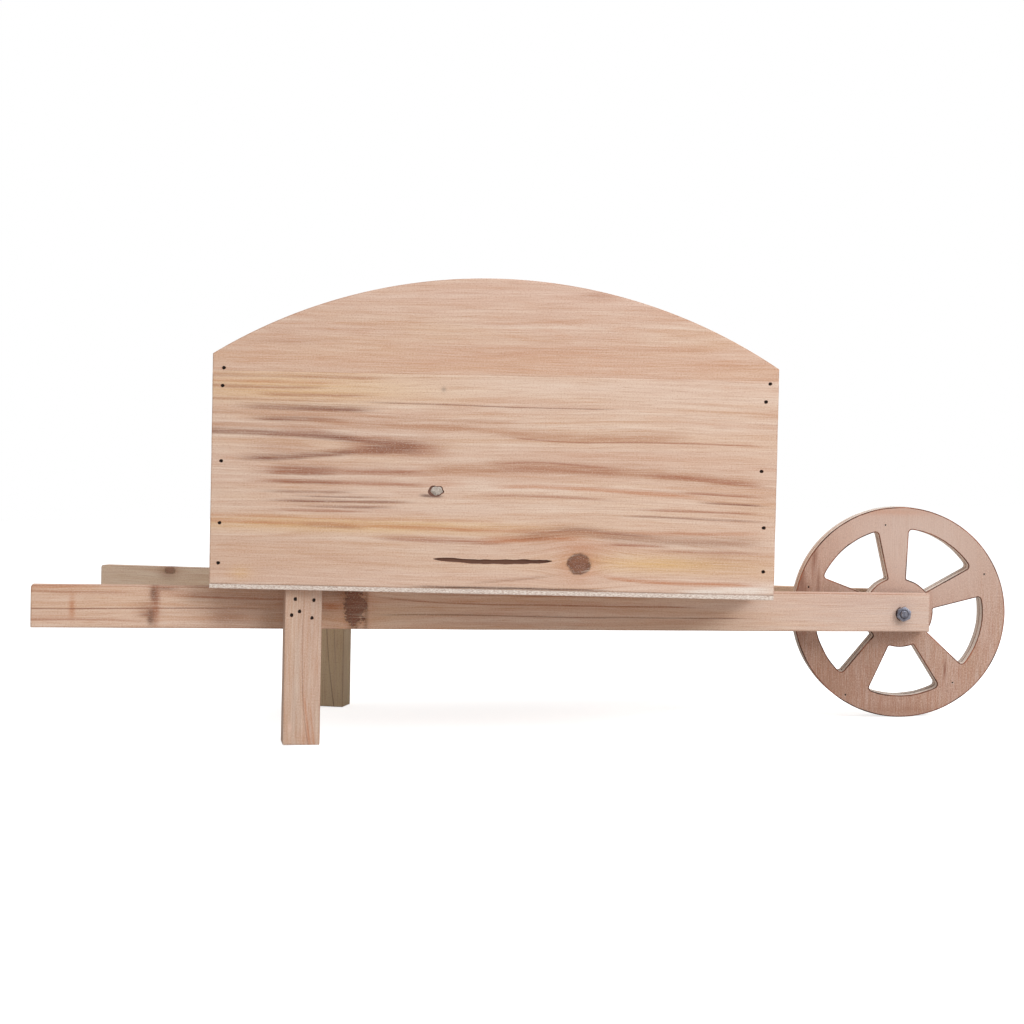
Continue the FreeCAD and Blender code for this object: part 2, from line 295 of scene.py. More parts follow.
def nail_pit(x, z, seed, mouth=NAIL_MOUTH, depth=NAIL_DEPTH):
    """The ragged hole over a driven brad: torn a little along the grain."""
    loops = []
    for y, widen in ((CUTTER_TOP, 1.12), (0.25, 1.0), (0.7, 0.86), (depth, 0.84)):
        loop = []
        for k, turn in enumerate(turns(12)):
            r = mouth * widen * (1 + 0.16 * wander(k * 5.0, seed, 9.0))
            loop.append((x + 1.12 * r * math.cos(turn), y, z + 0.94 * r * math.sin(turn)))
        loops.append(loop)
    return loops


def slit(start, end, height, width, depth, seed, sag):
    """A long shallow pocket in a face, along the grain, ragged and pointed at its ends."""
    upper, lower, bed_upper, bed_lower = [], [], [], []
    steps = 28
    for k in range(steps + 1):
        share = k / steps
        x = start + (end - start) * share
        half = width / 2 * min(1.0, 0.12 + 1.9 * math.sqrt(share * (1 - share)))
        half *= 1 + 0.2 * wander(x, seed, 7.0)
        middle = height - sag * math.sin(math.pi * share) + 0.3 * wander(x, seed + 3, 16.0)
        upper.append((x, middle + half))
        lower.append((x, middle - half))
        bed_upper.append((x, middle + half * 0.6))
        bed_lower.append((x, middle - half * 0.65))
    mouth = upper + lower[::-1]
    bed = bed_upper + bed_lower[::-1]
    return [
        [(x, CUTTER_TOP, z) for x, z in mouth],
        [(x, 0.05, z) for x, z in mouth],
        [(x, depth, z) for x, z in bed],
    ]


def crater(x, z, half_length, half_height, depth, seed):
    """A shallow ragged hollow where a bit of a knot has fallen out."""
    loops = []
    for y, widen in ((CUTTER_TOP, 1.0), (0.05, 1.0), (depth * 0.6, 0.82), (depth, 0.55)):
        loop = []
        for k, turn in enumerate(turns(28)):
            r = widen * (1 + 0.22 * wander(k * 2.0, seed, 7.0))
            loop.append((x + r * half_length * math.cos(turn), y,
                         z + r * half_height * math.sin(turn)))
        loops.append(loop)
    return loops


def lump_mesh(name, half_sizes, rough, seed):
    """A small lumpy closed bead."""
    mesh = bmesh.new()
    bmesh.ops.create_icosphere(mesh, subdivisions=4, radius=1.0)
    for vert in mesh.verts:
        swell = 1 + rough * noise.noise(vert.co * 2.3 + Vector((seed, 0, 0)))
        swell += rough * 0.6 * noise.noise(vert.co * 6.0 + Vector((0, seed, 0)))
        vert.co = Vector([c * swell * half for c, half in zip(vert.co, half_sizes)])
    return mesh_data(name, mesh, False)


def add_splinters(data, count, spot, seed):
    """Add torn slivers to a mesh, each a thin closed spindle; spot gives their places."""
    mesh = bmesh.new()
    mesh.from_mesh(data)
    draw = random.Random(seed)
    for k in range(count):
        x, y, z = spot(draw)
        length = draw.uniform(1.5, 7.0)
        width = draw.uniform(0.25, 0.6)
        tilt = draw.uniform(-0.12, 0.12)
        loops = []
        for share, swell in ((-0.5, 0.12), (-0.2, 0.8), (0.15, 1.0), (0.5, 0.1)):
            ring_x = x + share * length
            ring_y = y + share * length * tilt
            loop = []
            for turn in turns(5):
                loop.append((ring_x, ring_y + swell * width * math.cos(turn + k) * 0.9,
                             z + swell * width * math.sin(turn + k) * 0.6))
            loops.append(loop)
        add_stack(mesh, loops)
    bmesh.ops.recalc_face_normals(mesh, faces=mesh.faces)
    mesh.to_mesh(data)
    mesh.free()


# ======== materials


def colour(red, green, blue):
    """A linear colour from display values of 0 to 255."""
    def linear(value):
        value /= 255
        return value / 12.92 if value <= 0.04045 else ((value + 0.055) / 1.055) ** 2.4
    return (linear(red), linear(green), linear(blue), 1.0)


class Signal:
    """A number in a material's node tree, with ordinary arithmetic."""

    def __init__(self, graph, socket):
        self.graph = graph
        self.socket = socket

    def __add__(self, other):
        return self.graph.number("ADD", self, other)

    def __sub__(self, other):
        return self.graph.number("SUBTRACT", self, other)

    def __mul__(self, other):
        return self.graph.number("MULTIPLY", self, other)

    def __truediv__(self, other):
        return self.graph.number("DIVIDE", self, other)

    __radd__ = __add__
    __rmul__ = __mul__

    def power(self, exponent):
        return self.graph.number("POWER", self, exponent)

    def size(self):
        return self.graph.number("ABSOLUTE", self)

    def fraction(self):
        return self.graph.number("FRACT", self)

    def root(self):
        return self.graph.number("SQRT", self)

    def limited(self):
        return self.graph.number("ADD", self, 0.0, clamp=True)

    def hill(self, middle, half_width):
        """1 at the middle, falling off smoothly on both sides."""
        away = (self - middle) / half_width
        return self.graph.number("EXPONENT", away * away * -1.0)

    def rise(self, low, high):
        """0 below low, 1 above high, and smooth between them."""
        node = self.graph.new("ShaderNodeMapRange", interpolation_type="SMOOTHSTEP")
        self.graph.connect(self, node.inputs["Value"])
        node.inputs["From Min"].default_value = low
        node.inputs["From Max"].default_value = high
        return Signal(self.graph, node.outputs["Result"])


# What a curve's unit square spans, in mm
PATH_LENGTH = 500.0


class Graph:
    """A material under construction."""

    def __init__(self, name, specular=0.5):
        self.specular = specular
        self.material = bpy.data.materials.new(name)
        self.material.use_nodes = True
        self.nodes = self.material.node_tree.nodes
        self.links = self.material.node_tree.links
        self.shader = self.nodes["Principled BSDF"]
        place = self.new("ShaderNodeAttribute", attribute_name="place")
        split = self.new("ShaderNodeSeparateXYZ")
        self.links.new(place.outputs["Vector"], split.inputs[0])
        self.x = Signal(self, split.outputs["X"])
        self.y = Signal(self, split.outputs["Y"])
        self.z = Signal(self, split.outputs["Z"])

    def new(self, kind, **settings):
        node = self.nodes.new(kind)
        for key, value in settings.items():
            setattr(node, key, value)
        return node

    def connect(self, value, socket):
        if isinstance(value, Signal):
            self.links.new(value.socket, socket)
        else:
            socket.default_value = value

    def number(self, operation, *inputs, clamp=False):
        node = self.new("ShaderNodeMath", operation=operation, use_clamp=clamp)
        for value, socket in zip(inputs, node.inputs):
            self.connect(value, socket)
        return Signal(self, node.outputs[0])

    def attribute(self, name):
        node = self.new("ShaderNodeAttribute", attribute_name=name)
        return Signal(self, node.outputs["Fac"])

    def noise(self, x, y, z, detail=2.0, rough=0.5, seed=0.0):
        """Noise about 0, from roughly -1 to 1, at a point already divided by its scale."""
        point = self.new("ShaderNodeCombineXYZ")
        for value, socket in zip((x, y, z), point.inputs):
            self.connect(value, socket)
        node = self.new("ShaderNodeTexNoise", noise_dimensions="4D")
        self.links.new(point.outputs[0], node.inputs["Vector"])
        node.inputs["W"].default_value = seed
        node.inputs["Scale"].default_value = 1.0
        node.inputs["Detail"].default_value = detail
        node.inputs["Roughness"].default_value = rough
        return (Signal(self, node.outputs["Fac"]) - 0.5) * 3.0

    def grain(self, seed, detail, rough, along, through, across, height=None):
        """Noise with features of a given size along, through and across the grain."""
        height = self.z if height is None else height
        return self.noise(self.x / along, self.y / through, height / across,
                          detail, rough, seed)

    def path(self, points, length=PATH_LENGTH):
        """A smooth height over x through a few (x, z) points."""
        node = self.new("ShaderNodeFloatCurve")
        curve = node.mapping.curves[0]
        for x, z in points[1:-1]:
            curve.points.new(x / length, z / length)
        for spot, (x, z) in ((curve.points[0], points[0]), (curve.points[-1], points[-1])):
            spot.location = (x / length, z / length)
        node.mapping.update()
        self.connect(self.x / length, node.inputs["Value"])
        return Signal(self, node.outputs[0]) * length

    def mix(self, share, first, second):
        node = self.new("ShaderNodeMix", data_type="RGBA")
        self.connect(share, node.inputs[0])
        self.connect(first, node.inputs[6])
        self.connect(second, node.inputs[7])
        return Signal(self, node.outputs[2])

    def layers(self, base, *coats):
        """Lay colours over a base one by one, each as (share, colour name)."""
        for share, tint in coats:
            base = self.mix(share, base, PINE[tint])
        return base

    def stained(self, base, height, texture, stains):
        """Lay on soft stains: (x, z, half length, half height, colour name, strength)."""
        for x, z, half_length, half_height, tint, strength in stains:
            patch = self.x.hill(x, half_length) * height.hill(z, half_height)
            base = self.layers(base, ((patch * texture * strength).limited(), tint))
        return base

    def finish(self, base, roughness, height, height_mm):
        """Connect the colour, the roughness and a bump of the given depth."""
        self.shader.inputs["Specular IOR Level"].default_value = self.specular
        self.connect(base, self.shader.inputs["Base Color"])
        self.connect(roughness, self.shader.inputs["Roughness"])
        bump = self.new("ShaderNodeBump")
        bump.inputs["Strength"].default_value = 1.0
        bump.inputs["Distance"].default_value = height_mm * MM
        self.connect(height, bump.inputs["Height"])
        self.links.new(bump.outputs[0], self.shader.inputs["Normal"])
        return self.material


SOFTWOOD_SPECULAR = 0.25
END_GRAIN_SHARE = 0.4
PLY_THICKNESS = 1.2
KNOT_RAGGEDNESS = 0.07
STREAK_FADE = 34.0

# Colours of bare, planed softwood
PINE = {
    "pale": colour(236, 214, 197),
    "blush": colour(224, 192, 176),
    "pink": colour(213, 175, 153),
    "mauve": colour(196, 163, 148),
    "clay": colour(182, 146, 126),
    "ash": colour(207, 184, 172),
    "yellow": colour(224, 190, 156),
    "tan": colour(203, 156, 126),
    "apricot": colour(208, 152, 116),
    "ring": colour(184, 132, 100),
    "rust": colour(164, 104, 78),
    "streak": colour(132, 84, 66),
    "orange": colour(190, 116, 70),
    "gold": colour(228, 188, 134),
    # A pale wash of painted light, laid over the far rail and the far leg where they lie in shade
    "painted_light_cream": colour(250, 228, 190),
    "knot": colour(112, 70, 54),
    "rim": colour(66, 42, 34),
    "pitch": colour(66, 34, 34),
    "grey": colour(166, 148, 136),
    "dirt": colour(152, 106, 82),
    "torn": colour(242, 232, 222),
    "resin": colour(226, 217, 206),
}


def knot_distance(graph, knot, spread=1.0, stretch=1.0):
    """Distance from a knot's middle, 1 at its edge."""
    away_x = (graph.x - knot[0]) / (knot[2] * knot[3] * spread * stretch)
    away_z = (graph.z - knot[1]) / (knot[2] * spread)
    return (away_x * away_x + away_z * away_z).root()


def paint_streaks(graph, base, level, quiver, seed, streaks):
    """Resin-dark lines, sharp below and soft above, which fade at both ends.

    Each is (points, half width, strength, colour)."""
    broken = graph.grain(seed, 3, 0.6, 60, 3, 0.9, level)
    feather = graph.grain(seed + 1, 2, 0.55, 14, 3, 1.6, level)
    for points, half_width, strength, tint in streaks:
        start, end = points[0][0], points[-1][0]
        fade = min(STREAK_FADE, (end - start) * 0.35)
        line = graph.z - graph.path(points) + quiver * 0.4 + feather * (0.3 * half_width)
        mask = (line - line.size() * 0.35).hill(0.0, half_width * 1.3)
        mask = (mask * (broken * 0.75 + 0.95) - 0.08) * strength
        if start > 1.0:
            mask = mask * graph.x.rise(start, start + fade)
        mask = mask * graph.x.rise(end, end - fade)
        base = graph.layers(base, (mask.limited(), tint))
    return base


def paint_knots(graph, base, seed, speck, fibre, knots):
    """Knots with a dark broken rim, an orange halo and rings of their own."""
    torn = graph.grain(seed, 3, 0.6, 5, 5, 5)
    for knot in knots:
        darkness = knot[4]
        ragged = knot[5] if len(knot) > 5 else KNOT_RAGGEDNESS
        away = knot_distance(graph, knot) + torn * ragged + speck * 0.04
        halo = graph.number("EXPONENT", away * away * -0.32) * 0.55 * darkness
        base = graph.layers(base, (halo, "orange"))
        own_rings = (away * 3.2 + fibre * 0.3).fraction() * 0.6 + speck * 0.15
        heart = graph.mix(own_rings.limited(), PINE["knot"], PINE["streak"])
        base = graph.mix(away.rise(1.1, 0.84) * darkness, base, heart)
        base = graph.layers(base, (away.hill(0.98, 0.13) * 0.7 * darkness, "rim"))
    return base


def wood(name, seed, pith=(-60.0, 40.0), lean=(0.0, 0.0), spacing=3.0, contrast=0.6,
         pinkness=0.5, paleness=0.35, shade=0.0, knots=(), streaks=(), stains=(),
         warmth=0.5, seam=None):
    """Bare softwood: growth rings about a pith line, fibres, streaks, knots and stains.

    lean tips the pith line in y and z along the board. pinkness, paleness, warmth and
    shade shift the colour towards pink, pale, apricot and grey. knots are (x, z, radius,
    stretch, darkness and, if its edge is torn, raggedness), streaks as in paint_streaks
    and stains as in Graph.stained. seam is the z of a glued edge, which has no wear."""
    graph = Graph(name, SOFTWOOD_SPECULAR)
    x, y, z = graph.x, graph.y, graph.z

    drift = graph.grain(seed, 1, 0.5, 240, 60, 50)
    quiver = graph.grain(seed + 1, 2, 0.5, 80, 9, 9)
    level = z + drift * 3.5 + quiver * 0.5
    for knot in knots:
        away = knot_distance(graph, knot, 2.2, 1.7)
        bend = graph.number("EXPONENT", away * away * -1.0) * (0.8 * min(1.0, knot[3]) ** 2)
        level = level - (z - knot[1]) * bend
    across_y = y - pith[0] + x * lean[0]
    across_z = level - pith[1] + x * lean[1]
    radius = (across_y * across_y + across_z * across_z).root()
    uneven = graph.noise(radius / 13.0, x / 400.0, 0.0, 2.0, 0.6, seed + 2)
    turn = (radius / spacing + uneven * 1.5).fraction()
    ring = turn.power(2.4) * turn.rise(1.0, 0.84)
    patchy = graph.grain(seed + 3, 2, 0.6, 160, 20, 16, level)
    ring = ring * (patchy * 0.8 + 0.6).limited() * contrast

    tone = graph.grain(seed + 4, 2, 0.55, 220, 30, 26, level)
    band = graph.grain(seed + 5, 3, 0.65, 170, 14, 5.5, level)
    thread = graph.grain(seed + 6, 2, 0.6, 150, 3, 1.5, level)
    dapple = graph.grain(seed + 13, 2, 0.6, 26, 6, 2.4, level)
    fibre = graph.grain(seed + 7, 3, 0.7, 36, 0.7, 0.7, level)
    speck = graph.grain(seed + 8, 2, 0.7, 1.3, 0.8, 0.8)
    dash = graph.grain(seed + 9, 1, 0.5, 9, 0.5, 0.5, level).rise(0.7, 1.2)

    base = graph.mix((tone * 0.9 + pinkness).limited(), PINE["yellow"], PINE["pink"])
    base = graph.mix((band * 0.9 + paleness).limited(), base, PINE["pale"])
    base = graph.layers(
        base,
        (band.rise(0.1, -0.8) * 0.35, "tan"),
        (ring.limited(), "ring"),
        (dapple.rise(-0.1, 0.9) * warmth, "apricot"),
        (dapple.rise(-0.1, -0.9) * 0.35, "blush"),
        (thread.rise(0.0, 0.8) * 0.5, "tan"),
        (thread.rise(0.0, -0.8) * 0.4, "pale"),
    )
    # shade lays grey over the whole piece: painted shade for a piece lit less than its neighbours
    if shade:
        base = graph.layers(base, ((band * 0.25 + shade).limited(), "grey"))

    blotchy = (thread * 0.5 + band * 0.3 + 0.9).limited()
    base = graph.stained(base, z + quiver * 1.5, blotchy, stains)
    base = paint_streaks(graph, base, level, quiver, seed + 10, streaks)
    base = paint_knots(graph, base, seed + 12, speck, fibre, knots)

    wear = graph.attribute("wear")
    if seam is not None:
        wear = wear * (z - seam).size().rise(0.5, 3.0)
    scuffed = (wear + quiver * 0.3 + speck * 0.2).rise(0.55, 1.15)
    base = graph.layers(
        base,
        (fibre.rise(-0.05, 0.7) * 0.55, "ring"),
        (fibre.rise(0.05, -0.7) * 0.5, "pale"),
        (speck.rise(0.0, 0.7) * 0.55, "ring"),
        (speck.rise(0.0, -0.7) * 0.5, "pale"),
        (dash * 0.6, "streak"),
        # The walls and beds of carved pits are made near black
        (graph.attribute("pit") * 0.93, "pitch"),
        (scuffed * 0.4, "dirt"),
        (graph.attribute("faces_x").rise(0.6, 0.9) * END_GRAIN_SHARE, "ring"),
    )
    height = fibre * 0.5 + ring * -0.5 + speck * 0.25 + thread * 0.3
    roughness = fibre * 0.05 + ring * -0.1 + 0.68
    return graph.finish(base, roughness.limited(), height, 0.1)


def plywood(name, seed, edge_pale=0.45, edge_tint="pale", burnt=0.85, stains=()):
    """Thin plywood: a plain veneer face, glue lines between plies and sawn edges.

    edge_pale and edge_tint colour the sawn plies, burnt darkens the arrises and glue
    lines, and stains are as in Graph.stained."""
    graph = Graph(name, SOFTWOOD_SPECULAR)
    y, z = graph.y, graph.z
    drift = graph.grain(seed, 1, 0.5, 120, 60, 30)
    quiver = graph.grain(seed + 1, 2, 0.5, 40, 9, 7)
    level = z + drift * 2.0 + quiver * 0.3
    cloud = graph.grain(seed + 2, 3, 0.6, 50, 30, 26)
    band = graph.grain(seed + 3, 3, 0.65, 90, 14, 3.2, level)
    fibre = graph.grain(seed + 4, 3, 0.7, 22, 0.9, 0.75, level)
    speck = graph.grain(seed + 5, 2, 0.7, 1.4, 0.8, 0.9)
    pore = graph.grain(seed + 6, 1, 0.5, 12, 0.5, 0.45, level).rise(0.5, 1.1)
    base = graph.mix((cloud * 0.9 + 0.5).limited(), PINE["clay"], PINE["mauve"])
    base = graph.layers(
        base,
        (band.rise(0.0, 0.9) * 0.6, "ring"),
        (band.rise(0.0, -0.9) * 0.5, "ash"),
        (fibre.rise(0.0, 0.6) * 0.75, "rust"),
        (fibre.rise(0.05, -0.6) * 0.75, "ash"),
        (speck.rise(0.0, 0.6) * 0.5, "streak"),
        (speck.rise(0.0, -0.6) * 0.5, "pale"),
        (pore * 0.55, "rust"),
        # The walls and beds of carved pits are made near black
        (graph.attribute("pit") * 0.8, "rim"),
    )
    base = graph.stained(base, z + quiver, (fibre * 0.9 + 0.8).limited(), stains)

    cut = graph.attribute("faces_y").rise(0.75, 0.45)
    glue = (y / PLY_THICKNESS).fraction()
    chips = graph.grain(seed + 7, 2, 0.6, 2.2, 0.6, 2.2)
    sawn = graph.mix((chips * 0.8 + edge_pale + 0.2).limited(), PINE["dirt"], PINE[edge_tint])
    sawn = graph.mix(glue.rise(0.75, 1.0) * 0.5 * burnt, sawn, PINE["knot"])
    base = graph.mix(cut, base, sawn)
    wear = graph.attribute("wear")
    rim = (wear + quiver * 0.3 + chips * 0.3).rise(0.15, 0.6)
    scorch = graph.mix((cloud * 1.4 + 0.6).limited(), PINE["rust"], PINE["rim"])
    base = graph.mix(rim * burnt, base, scorch)
    height = fibre * 0.6 + speck * 0.3 + chips * 0.4
    return graph.finish(base, (fibre * 0.04 + 0.74).limited(), height, 0.12)


def dried_resin(name, seed):
    """Whitish crusted resin with brown cracks."""
    graph = Graph(name)
    cloud = graph.grain(seed, 3, 0.65, 2.6, 2.6, 2.6)
    crumb = graph.grain(seed + 1, 3, 0.7, 0.7, 0.7, 0.7)
    base = graph.mix((cloud * 0.9 + 0.35).limited(), PINE["resin"], PINE["grey"])
    base = graph.layers(base, (crumb.rise(0.2, 0.9) * 0.8, "streak"))
    return graph.finish(base, (crumb * 0.1 + 0.5).limited(), crumb + cloud, 0.3)


def metal(name, light, dark, blotch, roughness, metallic, seed):
    """A steel surface with an uneven coat: blotches, fine scratches and dull spots.

    The brads are CAD meshes without a "place" attribute, so it reads object coordinates."""
    graph = Graph(name)
    coordinates = graph.new("ShaderNodeTexCoord")
    split = graph.new("ShaderNodeSeparateXYZ")
    graph.links.new(coordinates.outputs["Object"], split.inputs[0])
    x, y, z = (Signal(graph, split.outputs[axis]) * (1 / MM) for axis in "XYZ")
    cloud = graph.noise(x / blotch, y / blotch, z / blotch, 3.0, 0.6, seed)
    fine = graph.noise(x / (blotch * 0.12), y / (blotch * 0.6), z / (blotch * 0.12),
                       3.0, 0.6, seed + 1)
    base = graph.mix((cloud * 0.6 + 0.5).limited(), dark, light)
    base = graph.mix((fine * 0.5 + 0.1).limited() * 0.3, base, dark)
    graph.shader.inputs["Metallic"].default_value = metallic
    rough = (cloud * 0.08 + fine * 0.05 + roughness).limited()
    return graph.finish(base, rough, fine, 0.02)


# ======== boards of the box

BOARD_EASE = 0.4
END_EASE = 0.5
SIDE_SEAM = 170.0
SIDE_BACK = 183.4
SIDE_FRONT = 179.7
SIDE_RISE = 65.5
OUTLINE_STEP = 6.0
SAW_ROUGHNESS = 0.1
SAW_WAVELENGTH = 14.0
SQUARE_CORNER = 0.3
PANEL_CORNER = 0.4
BEAD_HALF_SIZES = (5.2, 1.2, 4.0)
BEAD_ROUGHNESS = 0.2
BEAD_DEPTH = 1.45
BEAD_SHIFT = (0.8, 0.7)
SIDE_BRADS_BACK = [(8.9, 172.0), (8.1, 157.8), (7.9, 98.0), (7.5, 48.6), (6.8, 16.6)]
SIDE_BRADS_FRONT = [(6.8, 168.0), (9.8, 153.6), (12.2, 98.5), (9.3, 53.6), (8.9, 18.7)]


def side_brad_places(length):
    """Brads of a side panel as (x, z) from its lower corner at the handle end."""
    places = list(SIDE_BRADS_BACK)
    places += [(length - inset, height) for inset, height in SIDE_BRADS_FRONT]
    return places


def arch_points(length):
    """Points of the arched top edge from the wheel end to the handle end."""
    start = Vector((length, SIDE_FRONT))
    end = Vector((0.0, SIDE_BACK))
    chord = end - start
    radius = chord.length ** 2 / (8 * SIDE_RISE) + SIDE_RISE / 2
    out = Vector((chord.y, -chord.x)).normalized()
    centre = (start + end) / 2 + out * (SIDE_RISE - radius)
    first = math.atan2(start.y - centre.y, start.x - centre.x)
    last = math.atan2(end.y - centre.y, end.x - centre.x)
    steps = round(radius * (last - first) / OUTLINE_STEP)
    angles = [first + (last - first) * k / steps for k in range(steps + 1)]
    return [(centre.x + radius * math.cos(t), centre.y + radius * math.sin(t)) for t in angles]


def lower_side_board(name, node, left, seed, material, extras=()):
    """The lower board of a side panel, with the pits over its brads."""
    matrix, size = piece_frame(node)
    corners = [(0, 0, 0.5), (size.x, 0, 0.5), (size.x, size.z + BOARD_EASE, 0),
               (0, size.z + BOARD_EASE, 0)]
    outline = polyline(corners, OUTLINE_STEP, 0.12, SAW_WAVELENGTH, seed)
    data = prism_mesh(name, [outline], size.y, BOARD_EASE)
    pits = [nail_pit(x, z, seed + k) for k, (x, z) in enumerate(side_brad_places(size.x))
            if z < SIDE_SEAM]
    data = carve(data, pits + list(extras))
    if left:
        data = flipped(data, size.y)
    put(name, data, matrix, "barrow", [node], material)


def resin_bead(name, node, spot, material):
    """A bead of dried resin in a board's hollow, a little below its face."""
    matrix = piece_frame(node)[0]
    data = lump_mesh(name, BEAD_HALF_SIZES, BEAD_ROUGHNESS, 3.0)
    middle = (spot[0] + BEAD_SHIFT[0], BEAD_DEPTH, spot[1] + BEAD_SHIFT[1])
    data.transform(Matrix.Translation(middle))
    put(name, data, matrix, "barrow", [], material)


def upper_side_board(name, node, left, seed, material):
    """The arched upper board of a side panel."""
    matrix, size = piece_frame(node)
    arch = [(x, z - SIDE_SEAM, 0.0) for x, z in arch_points(size.x)]
    arch[0] = arch[0][:2] + (PANEL_CORNER,)
    arch[-1] = arch[-1][:2] + (PANEL_CORNER,)
    outline = [(0, -BOARD_EASE, 0.0), (size.x, -BOARD_EASE, 0.0)] + arch
    data = prism_mesh(name, [outline], size.y, BOARD_EASE)
    pits = [nail_pit(x, z - SIDE_SEAM, seed + k)
            for k, (x, z) in enumerate(side_brad_places(size.x)) if z > SIDE_SEAM]
    data = carve(data, pits)
    if left:
        data = flipped(data, size.y)
    put(name, data, matrix, "barrow", [node], material)


def end_board(name, node, seed, material):
    """A plain board across the box."""
    matrix, size = piece_frame(node, "y")
    outline = polyline(rectangle(size, SQUARE_CORNER), OUTLINE_STEP, SAW_ROUGHNESS,
                       SAW_WAVELENGTH, seed)
    data = prism_mesh(name, [outline], size.y, END_EASE)
    put(name, data, matrix, "barrow", [node], material)


SHEET_EASE = 0.2
SPLINTERS = 150
SPLINTER_MARGIN = 6
SPLINTER_DEPTHS = (0.45, 0.5, 1.6, 2.9)


def floor_sheet(name, node, material):
    """The plywood sheet under the box, sawn rough, with splinters along its near edge."""
    matrix, size = piece_frame(node, "sheet")
    outline = polyline(rectangle(size, 0.4), 2.0, 0.3, 3.0, 5)
    data = prism_mesh(name, [outline], size.y, SHEET_EASE, wear_width=0.6)
    near_edge = size.z - 0.5

    def near_spot(draw):
        along = draw.uniform(SPLINTER_MARGIN, size.x - SPLINTER_MARGIN)
        return along, draw.choice(SPLINTER_DEPTHS), near_edge

    add_splinters(data, SPLINTERS, near_spot, 21)
    put(name, data, matrix, "barrow", [node], material)


# ======== rails and legs

RAIL_EASE = 0.6
RAIL_END_RISE = 1.9
RAIL_CORNER = 0.8
RAIL_END_CORNER = 0.6
HANDLE_CORNER = 2.0
LEG_EASE = 0.25
LEG_BRADS = [(8.1, 9.5), (22.9, 8.8), (11.6, -0.4), (5.3, -3.5), (21.6, -5.6)]
LEG_TOP_FROM_MIDDLE = 17.15


def rail(name, node, left, seed, material):
    """A rail on edge, eased all round, with the seat that the nut or head has pressed."""
    matrix, size = piece_frame(node, "x", -SPLAY if left else SPLAY)
    corners = [(0, 0, RAIL_CORNER), (size.x, RAIL_END_RISE, RAIL_END_CORNER),
               (size.x, size.z, RAIL_END_CORNER), (0, size.z, HANDLE_CORNER)]
    outline = polyline(corners, OUTLINE_STEP, SAW_ROUGHNESS, 40.0, seed)
    data = prism_mesh(name, [outline], size.y, RAIL_EASE)
    data = carve(data, [axle_hole(matrix, left)])
    put(name, data, matrix, "barrow", [node], material)


SEAT_RADIUS = 6.6
BOLT_CLEARANCE_RADIUS = 3.3
SEAT_FROM_CENTRE = 32.3


def axle_hole(matrix, left):
    """The bolt hole and pressed seat, square to the axle, in a rail's own frame."""
    side = 1 if left else -1
    to_rail = matrix.inverted()
    loops = []
    for y, radius in ((45.0, SEAT_RADIUS), (SEAT_FROM_CENTRE, SEAT_RADIUS),
                      (SEAT_FROM_CENTRE, BOLT_CLEARANCE_RADIUS), (2.0, BOLT_CLEARANCE_RADIUS)):
        loop = []
        for turn in turns(48):
            spot = Vector((radius * math.sin(turn), side * y, radius * math.cos(turn))) * MM
            loop.append(to_rail @ (TILT @ spot))
        loops.append(loop)
    return loops


def leg(name, node, left, seed, material):
    """A square-cut leg with the pits over its brads near the top."""
    matrix, size = piece_frame(node, "z", -SPLAY if left else SPLAY)
    outline = polyline(rectangle(size, SQUARE_CORNER), OUTLINE_STEP, SAW_ROUGHNESS, 25.0, seed)
    data = prism_mesh(name, [outline], size.y, LEG_EASE)
    pits = []
    for k, (inset, height) in enumerate(LEG_BRADS):
        pits.append(nail_pit(size.x - LEG_TOP_FROM_MIDDLE + height, size.z - inset, seed + k))
    data = carve(data, pits)
    if left:
        data = flipped(data, size.y)
    put(name, data, matrix, "barrow", [node], material)


# ======== wheel

WHEEL_RADIUS = 90.3
WHEEL_SHY = 0.1
SPOKE_DEG = [-5.5, 67.0, 139.9, 211.3, 282.6]
WINDOW_RADII = [(28.5, 71.6), (28.6, 70.7), (30.1, 71.8), (30.0, 72.5), (30.0, 71.8)]
SPOKE_ROOT = 30.0
SPOKE_ROOT_WIDTH = 15.7
SPOKE_TIP = 70.0
SPOKE_TIP_WIDTH = 26.2
WINDOW_OUTER_FILLET = 3.0
WINDOW_INNER_FILLET = 1.5
AXLE_BORE = 3.235
WHEEL_EASE = 0.45
WHEEL_NAIL_MOUTH = 0.85
WHEEL_NAIL_DEPTH = 1.25
WINDOW_STEP = 3.0
WHEEL_BRADS = [(-10.4, 75.8), (64.6, 79.5), (141.7, 76.1), (211.6, 84.8), (284.3, 80.7)]


def on_wheel(distance, turn):
    """A place on a disc, by distance from the axle and turn clockwise from straight up."""
    return distance * math.cos(turn), -distance * math.sin(turn)


def window_outline(number, seed):
    """One opening, clockwise, between a spoke and the next; the spokes widen outwards."""
    this_spoke = SPOKE_DEG[number]
    next_spoke = (SPOKE_DEG[1:] + [SPOKE_DEG[0] + 360])[number]
    middle = math.radians((this_spoke + next_spoke) / 2)
    half_gap = math.radians((next_spoke - this_spoke) / 2)
    flare = (SPOKE_TIP_WIDTH - SPOKE_ROOT_WIDTH) / 2 / (SPOKE_TIP - SPOKE_ROOT)
    fillets = (WINDOW_INNER_FILLET, WINDOW_OUTER_FILLET)
    points = []
    for distance, fillet, side in zip(WINDOW_RADII[number], fillets, (-1, 1)):
        half_width = SPOKE_ROOT_WIDTH / 2 + (distance - SPOKE_ROOT) * flare
        half = half_gap - math.asin(half_width / distance)
        clear = fillet * 1.4 / distance
        count = round(distance * 2 * half / WINDOW_STEP)
        spots = [half * (2 * k / count - 1) for k in range(count + 1)]
        spots = [t for t in spots if abs(t) < half - clear]
        spots = [-half] + spots + [half]
        for t in spots[::side]:
            radius = fillet if abs(t) == half else 0.0
            shift = 0.0 if radius else 0.15 * wander(t * distance, seed, 9.0)
            x, z = on_wheel(distance + shift, middle + t)
            points.append((x, z, radius))
    return points


